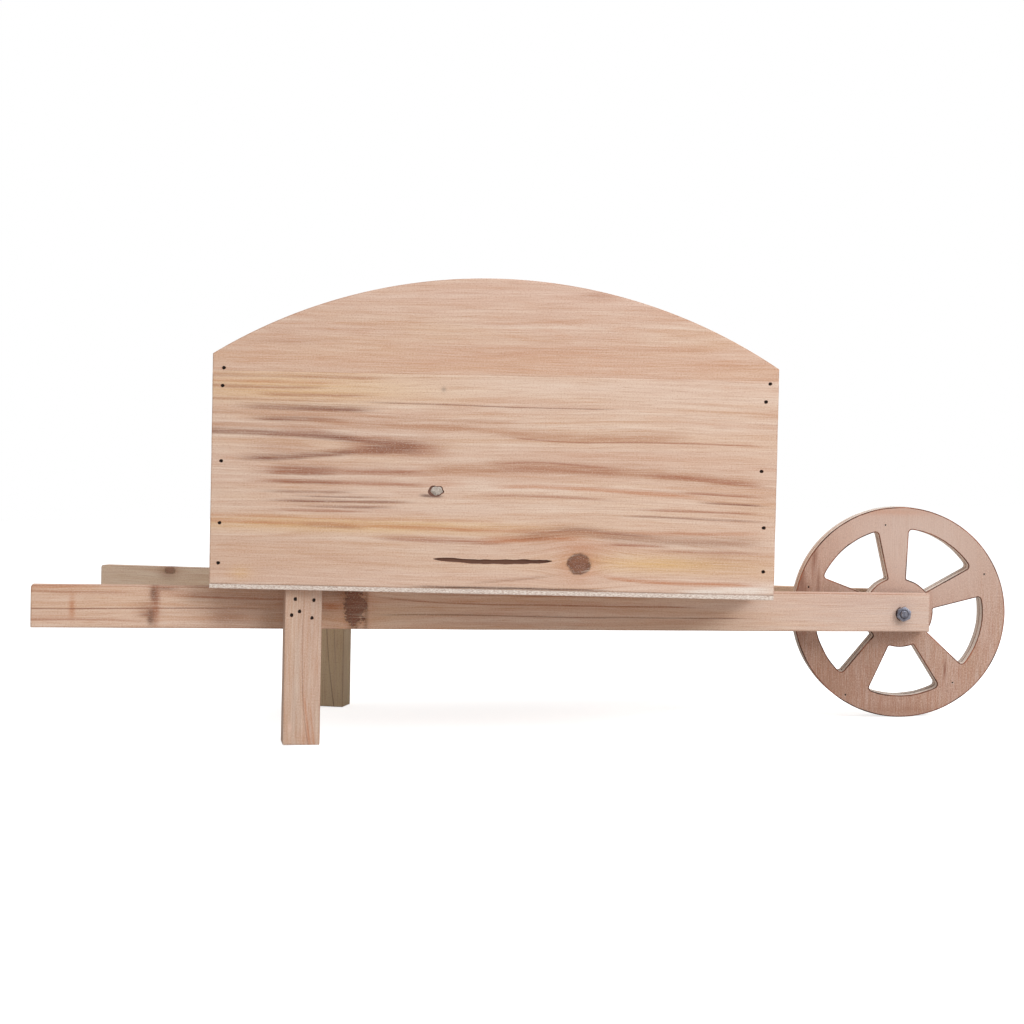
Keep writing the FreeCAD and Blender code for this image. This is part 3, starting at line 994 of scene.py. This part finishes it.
def wheel_disc(name, node, left, seed, material):
    """One of the two plywood discs that make the wheel."""
    matrix, size = piece_frame(node, "z")
    rim = ring(WHEEL_RADIUS - WHEEL_SHY, 180, WHEEL_SHY * 0.6, seed)
    outlines = [rim, ring(AXLE_BORE, 40, reverse=True)]
    outlines += [window_outline(number, seed + number) for number in range(len(SPOKE_DEG))]
    data = prism_mesh(name, outlines, size.y, WHEEL_EASE, wear_width=0.7)
    if not left:
        pits = []
        for k, (turn_deg, distance) in enumerate(WHEEL_BRADS):
            x, z = on_wheel(distance, math.radians(turn_deg))
            pits.append(nail_pit(x, z, seed + k, WHEEL_NAIL_MOUTH, WHEEL_NAIL_DEPTH))
        data = carve(data, pits)
    centred = matrix @ Matrix.Translation((size.x / 2, 0, size.z / 2))
    put(name, data, centred, "wheel", [node], material)


# ======== bolt and nut

HEX_FLATS = 11.1
HEX_CHAMFER = math.radians(30)
HEX_STEPS = 96
HEAD_HEIGHT = 4.1
NUT_HEIGHT = 5.6
NUT_TURN = math.radians(8)
NUT_PLAY = 0.04
NUT_COUNTERSINK = 0.5
BOLT_RADIUS = 3.14
BOLT_LENGTH = 73.0
THREAD_LENGTH = 22.0
THREAD_PITCH = 1.27
THREAD_DEPTH = 0.6


def circle(radius, y, steps=HEX_STEPS):
    """A loop round the Y axis."""
    return [(radius * math.sin(t), y, radius * math.cos(t)) for t in turns(steps)]


def hexagon_loops(start, end, turn):
    """Loops of a hexagonal prism along Y with its corners chamfered to a circle."""
    flat = HEX_FLATS / 2
    face_radius = flat * 0.97
    lower, upper = [], []
    for angle in turns(HEX_STEPS):
        within = (angle + math.pi / 6) % (math.pi / 3) - math.pi / 6
        radius = flat / math.cos(math.pi / 6 - abs(within))
        drop = (radius - face_radius) * math.tan(HEX_CHAMFER)
        x = radius * math.sin(angle + turn)
        z = radius * math.cos(angle + turn)
        lower.append((x, start + drop, z))
        upper.append((x, end - drop, z))
    return [circle(face_radius, start), lower, upper, circle(face_radius, end)]


def thread_loops(start, length):
    """A turned shank whose surface rises and falls along a helix, running out at the end."""
    steps = 48
    rows = round(length / THREAD_PITCH * 8)
    loops = [circle(BOLT_RADIUS - THREAD_DEPTH - 0.5, start, steps)]
    for row in range(rows + 1):
        along = length * row / rows
        loop = []
        for k, turn in enumerate(turns(steps)):
            share = (along / THREAD_PITCH - k / steps) % 1.0
            cut = 1 - abs(2 * share - 1)
            cut = min(max(cut * 1.25 - 0.1, 0.0), 1.0)
            cut *= min(1.0, (length - along) / THREAD_PITCH)
            taper = max(0.0, 0.9 - along) * 0.7
            radius = min(BOLT_RADIUS - THREAD_DEPTH * cut, BOLT_RADIUS - taper)
            loop.append((radius * math.sin(turn), start + along, radius * math.cos(turn)))
        loops.append(loop)
    return loops


def bolt(name, node, material):
    """The axle bolt with a rolled thread at the nut end and a hexagon head."""
    mesh = bmesh.new()
    add_stack(mesh, hexagon_loops(SEAT_FROM_CENTRE, SEAT_FROM_CENTRE + HEAD_HEIGHT, 0.0))
    loops = thread_loops(SEAT_FROM_CENTRE - BOLT_LENGTH, THREAD_LENGTH)
    loops.append(circle(BOLT_RADIUS, SEAT_FROM_CENTRE + 0.5, 48))
    add_stack(mesh, loops)
    matrix = TILT @ Matrix.Scale(MM, 4)
    put(name, mesh_data(name, mesh), matrix, "barrow", [node],
               material)


def nut(name, node, material):
    """The hexagon nut, with the countersunk mouths of its thread."""
    mesh = bmesh.new()
    start = -SEAT_FROM_CENTRE - NUT_HEIGHT
    end = -SEAT_FROM_CENTRE
    bore = BOLT_RADIUS + NUT_PLAY
    sink = NUT_COUNTERSINK
    loops = [circle(bore + sink, start)] + hexagon_loops(start, end, NUT_TURN)
    loops += [circle(bore + sink, end), circle(bore, end - sink), circle(bore, start + sink)]
    stack = [[mesh.verts.new(point) for point in loop] for loop in loops]
    skin(mesh, stack + stack[:1])
    matrix = TILT @ Matrix.Scale(MM, 4)
    put(name, mesh_data(name, mesh), matrix, "barrow", [node],
               material)


# ======== the barrow

# Figure of the right panel's lower board: x from the handle end, z from the floor
PANEL_KNOTS = [(294.5, 21.8, 8, 1.1, 0.95, 0.2)]
RESIN_KNOT = (179.8, 77.4)
PITCH_POCKET = (178.5, 273, 23.4)
PANEL_STREAKS = [
    ([(0, 121.4), (50, 120.2), (98, 118.2), (128, 115.5), (155, 113.5), (186, 111.5)],
     1.7, 0.9, "streak"),
    ([(45, 122.6), (70, 122.4), (104, 120.6)], 2.6, 0.5, "rust"),
    ([(12, 100.4), (61, 101.4), (95, 104.6), (123, 107.2), (165, 108.4)], 1.9, 0.9, "streak"),
    ([(92, 111.2), (120, 110.2), (160, 109.2), (200, 109)], 5.4, 0.75, "rust"),
    ([(112, 110.6), (146, 109.8), (176, 109.6)], 3.6, 0.7, "streak"),
    ([(62, 119.4), (96, 118), (124, 115.8)], 2.2, 0.6, "streak"),
    ([(120, 112.6), (146, 111.2), (170, 110.6)], 1.2, 0.6, "streak"),
    ([(20, 110), (50, 109.4), (96, 108)], 4.5, 0.3, "rust"),
    ([(40, 90.6), (62, 90.6), (84, 90.6), (108, 90.8)], 2.6, 0.95, "streak"),
    ([(25, 90.2), (85, 90.6), (185, 91.8)], 2, 0.8, "rust"),
    ([(40, 82), (75, 82.2), (112, 82)], 1.1, 0.9, "streak"),
    ([(20, 82), (95, 82.2), (185, 81.2)], 1.2, 0.7, "rust"),
    ([(30, 74.5), (80, 74.3), (125, 75.2)], 0.8, 0.7, "streak"),
    ([(55, 71.4), (80, 71), (148, 71.6)], 0.6, 0.8, "streak"),
    ([(36, 67.4), (80, 67.2), (170, 68)], 0.9, 0.85, "streak"),
    ([(60, 63.4), (95, 63.1), (158, 63.8)], 0.8, 0.8, "streak"),
    ([(38, 59.8), (85, 59.6), (140, 60.2)], 0.7, 0.75, "rust"),
    ([(0, 166), (60, 165.6), (150, 165.8)], 0.9, 0.5, "rust"),
    ([(0, 161.8), (60, 161.4), (120, 161.8)], 0.9, 0.5, "orange"),
    ([(0, 157.8), (16, 157.2), (100, 158.2)], 1, 0.6, "rust"),
    ([(24, 152), (60, 151.4), (140, 152.4)], 1.1, 0.6, "rust"),
    ([(0, 147.4), (60, 147), (120, 147.4)], 0.8, 0.5, "rust"),
    ([(10, 141.4), (60, 140.8), (142, 140)], 1.9, 0.8, "streak"),
    ([(20, 131.8), (60, 131.8), (115, 131.4)], 1.6, 0.8, "streak"),
    ([(60, 131.4), (140, 129.2), (230, 128.2)], 1.8, 0.7, "ring"),
    ([(0, 136.6), (80, 136), (160, 134.2), (260, 131.8)], 1.1, 0.6, "ring"),
    ([(0, 127), (70, 126.4), (150, 126.8), (250, 124.6)], 1.3, 0.6, "ring"),
    ([(110, 146.9), (170, 146.2), (240, 145.2), (330, 145)], 0.35, 0.9, "streak"),
    ([(0, 50.2), (120, 48.4), (240, 46.6), (450, 48)], 1.3, 0.6, "orange"),
    ([(60, 48), (90, 47.6), (130, 46)], 1.2, 0.6, "rust"),
    ([(0, 54.6), (120, 54), (250, 54)], 0.8, 0.5, "orange"),
    ([(120, 39.4), (200, 37.2), (250, 36.4)], 1.6, 0.75, "rust"),
    ([(155, 92.9), (210, 94.4), (251, 96.7), (281, 96.1), (321, 95), (361, 91.9),
      (401, 89.2), (450, 85.5)], 3.4, 0.8, "ring"),
    ([(212, 93), (252, 95.8), (290, 95.2), (344, 92.6)], 2.8, 0.55, "rust"),
    ([(215, 97.6), (240, 100.8), (268, 101.4), (300, 99.4), (330, 97.6)], 0.6, 0.85, "rust"),
    ([(330, 93.6), (380, 91), (450, 85.1)], 1.4, 0.8, "rust"),
    ([(215, 125.2), (250, 122.4), (297, 121), (340, 122), (390, 124)], 2.8, 0.7, "ring"),
    ([(225, 122.4), (262, 119.2), (300, 118.2), (350, 119.2), (450, 117.4)], 0.5, 0.85, "rust"),
    ([(215, 80.6), (262, 82), (330, 79.6), (400, 75.6)], 1.3, 0.7, "orange"),
    ([(200, 74), (262, 74.6), (330, 72.6)], 0.8, 0.6, "rust"),
    ([(383, 72.6), (415, 71.6), (450, 70.1)], 0.7, 0.9, "streak"),
    ([(362, 79.6), (410, 78.6), (450, 77.1)], 0.8, 0.8, "rust"),
    ([(330, 65.6), (390, 65), (450, 63.6)], 0.7, 0.8, "rust"),
    ([(318, 60.4), (380, 59.6), (450, 57.6)], 0.6, 0.8, "streak"),
    ([(206, 37.6), (245, 39.4), (272, 41.4), (308, 41.4)], 1.8, 0.95, "orange"),
    ([(228, 40.8), (263, 42.6), (292, 46.2), (330, 42), (390, 40.4), (450, 40.6)], 3.2, 0.6, "dirt"),
    ([(262, 45), (292, 49), (322, 46.5), (365, 43.6)], 1, 0.5, "streak"),
    ([(306, 36.4), (335, 37.4), (372, 35.6)], 0.8, 0.9, "rust"),
    ([(340, 32.6), (400, 33), (450, 32.4)], 0.8, 0.6, "rust"),
    ([(300, 14.2), (322, 10.4), (360, 8), (450, 7.4)], 1.1, 0.85, "orange"),
    ([(164, 73.6), (176, 73), (188, 73.2)], 0.9, 1, "pitch"),
    # A dark line along the lower edge: a painted shadow in the gap under the panel
    ([(150, 0.9), (240, 1), (330, 0.8)], 0.6, 1, "rim"),
    ([(200, 3.6), (250, 8.6), (286, 13.6)], 0.9, 0.5, "dirt"),
]
PANEL_STAINS = [
    (260, 160, 260, 9, "pale", 0.5),
    (330, 108, 130, 7, "pink", 0.7),
    (120, 60, 120, 7, "blush", 0.3),
    (365, 23, 70, 8, "gold", 1),
    (300, 36, 34, 5, "orange", 0.45),
    (110, 49, 150, 6, "gold", 0.9),
    (25, 9, 9, 5, "gold", 0.8),
    (60, 16, 110, 16, "tan", 0.3),
    (430, 50, 40, 60, "tan", 0.25),
    (60, 157, 110, 12, "gold", 0.7),
    (400, 30, 40, 12, "dirt", 0.25),
    (186, 66, 20, 5, "pale", 0.45),
    (186, 84, 14, 6, "orange", 0.22),
    (430, 4, 26, 4, "torn", 1.3),
    (396, 1.5, 20, 2, "torn", 1.2),
    (225, 8, 260, 9, "blush", 0.35),
    (80, 24, 90, 12, "tan", 0.35),
    (184.3, 158.6, 1.9, 1.9, "grey", 0.8),
]
PANEL_TOP_STAINS = [
    (230, 10, 300, 15, "apricot", 0.4),
    (225, 66, 200, 16, "blush", 0.6),
    (306, 65, 15, 3, "rust", 0.4),
    (338, 58, 16, 2.2, "blush", 0.6),
    (60, 24, 30, 3, "rust", 0.3),
]

# Figure of the rails: x from the handle end, z from the lower edge
RAIL_KNOTS = [(259, 20, 15, 0.55, 0.9, 0.9)]
RAIL_STAINS = [
    (32.5, 17, 2.4, 9, "orange", 0.85),
    (92, 15, 9, 8, "dirt", 0.7),
    (98.5, 20, 3, 18, "rust", 1),
    (97.5, 27.5, 3.6, 8, "streak", 1.2),
    (96.5, 29, 1.9, 5, "rim", 0.8),
    (95, 9.5, 3, 6, "knot", 1.1),
    (94, 8.5, 1.7, 3.6, "rim", 0.8),
    (91, 10.5, 5, 1.3, "streak", 0.8),
    (106, 32.6, 11, 1.8, "knot", 0.9),
    (45, 17, 60, 60, "tan", 0.25),
    (126, 28, 30, 4, "rust", 0.35),
    # A darker band round the start of the box: partly darker wood, partly a painted shadow of the
    # box on the rail
    (175, 17, 40, 40, "streak", 0.42),
    (15, 33, 30, 2, "orange", 0.5),
    (240, 19, 9, 3.5, "orange", 0.8),
    (252, 30, 12, 8, "dirt", 0.7),
    (259, 22, 6, 11, "rim", 1),
    (258, 7, 4.5, 8, "rim", 0.9),
    (268, 18, 2, 40, "rim", 0.7),
    (247, 31, 12, 5, "rim", 0.55),
    (232, 31, 8, 4, "streak", 0.5),
    # A soft dark brown patch low on the rail, 155 mm from the handle end
    (155, 10, 14, 6, "dirt", 0.7),
    (720, 17, 150, 60, "ash", 1),
    (690, 28, 60, 6, "mauve", 0.4),
]
RAIL_STREAKS = [
    ([(0, 15.2), (60, 15.6), (110, 16.2), (200, 16.9)], 0.4, 0.9, "streak"),
    ([(0, 29), (50, 28.4), (90, 28.6)], 0.7, 0.7, "rust"),
    ([(0, 6), (50, 6.6), (96, 5.2)], 0.7, 0.6, "rust"),
    ([(105, 27), (150, 25), (200, 24.6), (240, 25)], 0.7, 0.8, "rust"),
    ([(268, 27.5), (330, 22.8), (430, 21.4), (560, 20.6)], 0.5, 0.9, "rust"),
    ([(268, 12), (330, 12.8), (450, 11.6), (600, 12)], 0.4, 0.8, "streak"),
    ([(300, 29.4), (420, 28.8), (560, 29.6)], 0.5, 0.7, "rust"),
    ([(560, 26), (640, 25.2), (749, 25.6)], 0.4, 0.5, "rust"),
    ([(0, 33.4), (375, 33.4), (749, 33.4)], 0.35, 0.6, "rust"),
]
LEFT_RAIL_KNOTS = [(67, 31.5, 3.6, 1.4, 0.6, 0.35), (430, 20, 6, 0.9, 0.9)]

# Figure of the legs: x from the foot, z from the edge nearer the wheel
LEG_STREAKS = [
    ([(0, 9), (22, 12.5), (60, 14.6), (128, 14)], 0.3, 0.6, "streak"),
    ([(0, 7.6), (20, 10.4), (46, 13.2)], 0.7, 0.6, "orange"),
    ([(0, 4), (16, 6), (36, 8.4)], 0.6, 0.5, "orange"),
    ([(0, 22), (50, 21.4), (128, 22)], 0.3, 0.25, "rust"),
]
LEG_STAINS = [(5, 10, 7, 8, "orange", 0.3), (14, 24, 3.5, 1.6, "blush", 0.9)]
LEFT_LEG_STREAKS = [
    ([(0, 8), (30, 12.5), (70, 16), (128, 17.6)], 0.4, 0.6, "streak"),
    ([(20, 5), (60, 8.6), (128, 9.8)], 0.3, 0.5, "streak"),
]

side_pine = wood("side_pine", 10, (-50.0, 35.0), spacing=4.2, contrast=0.5, pinkness=0.75,
                 paleness=0.55, warmth=0.3, knots=PANEL_KNOTS, streaks=PANEL_STREAKS,
                 stains=PANEL_STAINS, seam=SIDE_SEAM)
side_pine_pink = wood("side_pine_pink", 20, (-70.0, -30.0), spacing=3.2, contrast=0.25,
                      pinkness=0.85, paleness=0.35, warmth=0.4, stains=PANEL_TOP_STAINS,
                      seam=0.0)
left_pine = wood("left_side_pine", 30, (60.0, 120.0), spacing=3.2,
                 knots=[(330.0, 120.0, 7.0, 1.1, 0.9), (80.0, 60.0, 5.0, 1.2, 0.7)])
left_pine_pink = wood("left_side_pine_pink", 40, (80.0, 20.0), pinkness=0.8)
rail_pine = wood("rail_pine", 50, (-20.0, 10.0), spacing=2.6, pinkness=0.6, contrast=0.4,
                 knots=RAIL_KNOTS, stains=RAIL_STAINS, streaks=RAIL_STREAKS)
# paleness 0.95 and the long pale stain are painted light: they brighten the far rail, which lies in
# shade under the box
left_rail_pine = wood("left_rail_pine", 60, (40.0, 12.0), spacing=2.6, contrast=0.4,
                      paleness=0.95, knots=LEFT_RAIL_KNOTS,
                      stains=[(375.0, 17.0, 600.0, 60.0, "painted_light_cream", 0.5),
                              (66.0, 30.0, 9.0, 6.0, "knot", 0.6)])
# shade 0.3 greys the near leg: painted shade, for a leg lit less than the panel above it
leg_pine = wood("leg_pine", 70, (12.0, 11.0), (0.11, 0.03), 2.8, pinkness=0.7, contrast=0.2,
                shade=0.3, streaks=LEG_STREAKS, stains=LEG_STAINS)
# paleness 0.95 and the pale stain over the whole leg are painted light: they brighten the far leg,
# which lies in shade under the box
left_leg_pine = wood("left_leg_pine", 80, (-9.0, 12.0), (-0.08, 0.02), 2.8, contrast=0.3,
                     paleness=0.95, pinkness=0.0, streaks=LEFT_LEG_STREAKS,
                     stains=[(64.0, 17.0, 400.0, 120.0, "painted_light_cream", 1.1)])
end_pine = wood("end_pine", 90, (40.0, 30.0))
end_pine_upper = wood("end_pine_upper", 100, (45.0, 70.0),
                      knots=[(190.0, 40.0, 6.5, 1.1, 0.9)])
# edge_pale 0.8 and the torn tint make the sawn plies pale: partly their own colour, partly painted
# light on window walls turned away from the lamps
wheel_ply = plywood("wheel_plywood", 110, edge_pale=0.8, edge_tint="torn", burnt=1.0, stains=[
    # The disc is paler and greyer at the top and darker towards the bottom
    (64, -12, 60, 90, "ash", 1),
    (-50, 50, 50, 40, "dirt", 0.3),
    (16, 85, 44, 6, "streak", 0.8),
    (50, 74, 20, 3, "streak", 0.6),
    (-20, 60, 90, 8, "dirt", 0.3),
    (-66, 0, 20, 80, "dirt", 0.2),
    (22, 70, 14, 1.4, "streak", 0.7),
    (40, 74, 12, 1.6, "streak", 0.6),
    (-48, -40, 7, 1.2, "streak", 1),
    (-84, -10, 5, 50, "dirt", 0.5),
    (86, 20, 3, 60, "orange", 0.35),
])
# edge_pale 0.8 and the torn tint make the sawn plies pale: partly their own colour, partly painted
# light on window walls turned away from the lamps
left_wheel_ply = plywood("left_wheel_plywood", 120, edge_pale=0.8, edge_tint="torn", burnt=1.0)
floor_ply = plywood("floor_plywood", 130, edge_pale=0.55, edge_tint="torn", burnt=0.15)
resin = dried_resin("dried_resin", 160)
zinc = metal("zinc_plate", colour(176, 178, 192), colour(84, 86, 102), 2.2, 0.4, 0.85, 140)
brad_steel = metal("brad_steel", colour(70, 62, 58), colour(38, 30, 28), 1.5, 0.6, 0.7, 150)

pocket_start, pocket_end, pocket_height = PITCH_POCKET
panel_hollows = [
    crater(*RESIN_KNOT, 6.0, 4.3, 1.6, 31),
    slit(pocket_start, pocket_end, pocket_height, 3.6, 1.1, 32, sag=1.2),
]
lower_side_board("right_side_lower", "right_side_lower_board", False, 1, side_pine,
                 panel_hollows)
resin_bead("resin_bead", "right_side_lower_board", RESIN_KNOT, resin)
upper_side_board("right_side_upper", "right_side_upper_board", False, 2, side_pine_pink)
lower_side_board("left_side_lower", "left_side_lower_board", True, 3, left_pine)
upper_side_board("left_side_upper", "left_side_upper_board", True, 4, left_pine_pink)
end_board("front_lower", "front_lower_board", 5, end_pine)
end_board("front_upper", "front_upper_board", 6, end_pine_upper)
end_board("back_lower", "back_lower_board", 7, end_pine_upper)
end_board("back_upper", "back_upper_board", 8, end_pine)
floor_sheet("floor_sheet", "box_floor", floor_ply)
rail("right_rail_eased", "right_rail", False, 9, rail_pine)
rail("left_rail_eased", "left_rail", True, 10, left_rail_pine)
leg("right_leg_eased", "right_leg", False, 11, leg_pine)
leg("left_leg_eased", "left_leg", True, 12, left_leg_pine)
wheel_disc("right_disc", "right_wheel_disc", False, 13, wheel_ply)
wheel_disc("left_disc", "left_wheel_disc", True, 14, left_wheel_ply)
bolt("threaded_bolt", "axle_bolt", zinc)
nut("hexagon_nut", "axle_nut", zinc)

for node_name, node in frame["nodes"].items():
    if node_name.endswith("brads"):
        node.data.materials.clear()
        node.data.materials.append(brad_steel)


# ======== stage, light, camera


def area_light(name, size, place, target, power):
    """A large soft light panel that faces a target."""
    data = bpy.data.lights.new(name, "AREA")
    data.shape = "RECTANGLE"
    data.size, data.size_y = size
    data.energy = power
    light = bpy.data.objects.new(name, data)
    bpy.context.scene.collection.objects.link(light)
    light.location = place
    direction = Vector(target) - Vector(place)
    light.rotation_euler = direction.to_track_quat("-Z", "Y").to_euler()


def seen_and_cast(tree, output, seen, cast):
    """Use one shader where the camera looks straight at a surface, another elsewhere."""
    path = tree.nodes.new("ShaderNodeLightPath")
    mixer = tree.nodes.new("ShaderNodeMixShader")
    tree.links.new(path.outputs["Is Camera Ray"], mixer.inputs[0])
    tree.links.new(cast.outputs[0], mixer.inputs[1])
    tree.links.new(seen.outputs[0], mixer.inputs[2])
    tree.links.new(mixer.outputs[0], output)


def background(tree, strength):
    """A white background shader."""
    node = tree.nodes.new("ShaderNodeBackground")
    node.inputs["Color"].default_value = (1.0, 1.0, 1.0, 1.0)
    node.inputs["Strength"].default_value = strength
    return node


# What the camera sees is bright; what falls on the barrow is dimmer
SKY_SEEN = 1.0
SKY_CAST = 0.42
FLOOR_GLOW = 0.75
FLOOR_SIZE = 6.0
PAPER_SEEN = (0.85, 0.85, 0.85, 1.0)
PAPER_CAST = (0.64, 0.61, 0.58, 1.0)
# Light panels: name, size, place, target, power in watts
LIGHTS = [
    ("overhead", (2.2, 1.4), (0.4, -0.6, 2.0), (0.0, 0.0, 0.1), 26.0),
    ("front", (1.6, 1.2), (2.2, -2.0, 1.6), (0.0, 0.0, 0.15), 46.0),
]


def studio():
    """A white floor and background under soft overhead light.

    The floor looks white but casts little light back, so that undersides stay dark."""
    scene = bpy.context.scene
    world = bpy.data.worlds.new("studio")
    world.use_nodes = True
    tree = world.node_tree
    output = tree.nodes["World Output"].inputs["Surface"]
    seen_and_cast(tree, output, background(tree, SKY_SEEN), background(tree, SKY_CAST))
    scene.world = world

    mesh = bmesh.new()
    bmesh.ops.create_grid(mesh, x_segments=1, y_segments=1, size=FLOOR_SIZE)
    floor = bpy.data.objects.new("floor", mesh_data("floor", mesh))
    scene.collection.objects.link(floor)
    material = bpy.data.materials.new("floor")
    material.use_nodes = True
    tree = material.node_tree
    paper = tree.nodes["Principled BSDF"]
    paper.inputs["Base Color"].default_value = PAPER_SEEN
    paper.inputs["Roughness"].default_value = 0.9
    glow = tree.nodes.new("ShaderNodeEmission")
    glow.inputs["Strength"].default_value = FLOOR_GLOW
    lit_paper = tree.nodes.new("ShaderNodeAddShader")
    tree.links.new(paper.outputs[0], lit_paper.inputs[0])
    tree.links.new(glow.outputs[0], lit_paper.inputs[1])
    dim_paper = tree.nodes.new("ShaderNodeBsdfDiffuse")
    dim_paper.inputs["Color"].default_value = PAPER_CAST
    output = tree.nodes["Material Output"].inputs["Surface"]
    seen_and_cast(tree, output, lit_paper, dim_paper)
    floor.data.materials.append(material)

    for light in LIGHTS:
        area_light(*light)
    scene.view_settings.view_transform = "Standard"


CAMERA_LENS = 78.035
CAMERA_PLACE = (0.00687, -1.91798, 0.23586)
CAMERA_DEG = (88.3556, 0.8587, 0.7113)


def camera():
    """A long lens square to the side of the barrow, a little above its middle."""
    data = bpy.data.cameras.new("camera")
    data.lens = CAMERA_LENS
    data.sensor_width = 36.0
    data.clip_end = 50.0
    view = bpy.data.objects.new("camera", data)
    bpy.context.scene.collection.objects.link(view)
    view.location = CAMERA_PLACE
    view.rotation_euler = [math.radians(angle) for angle in CAMERA_DEG]
    bpy.context.scene.camera = view


studio()
camera()
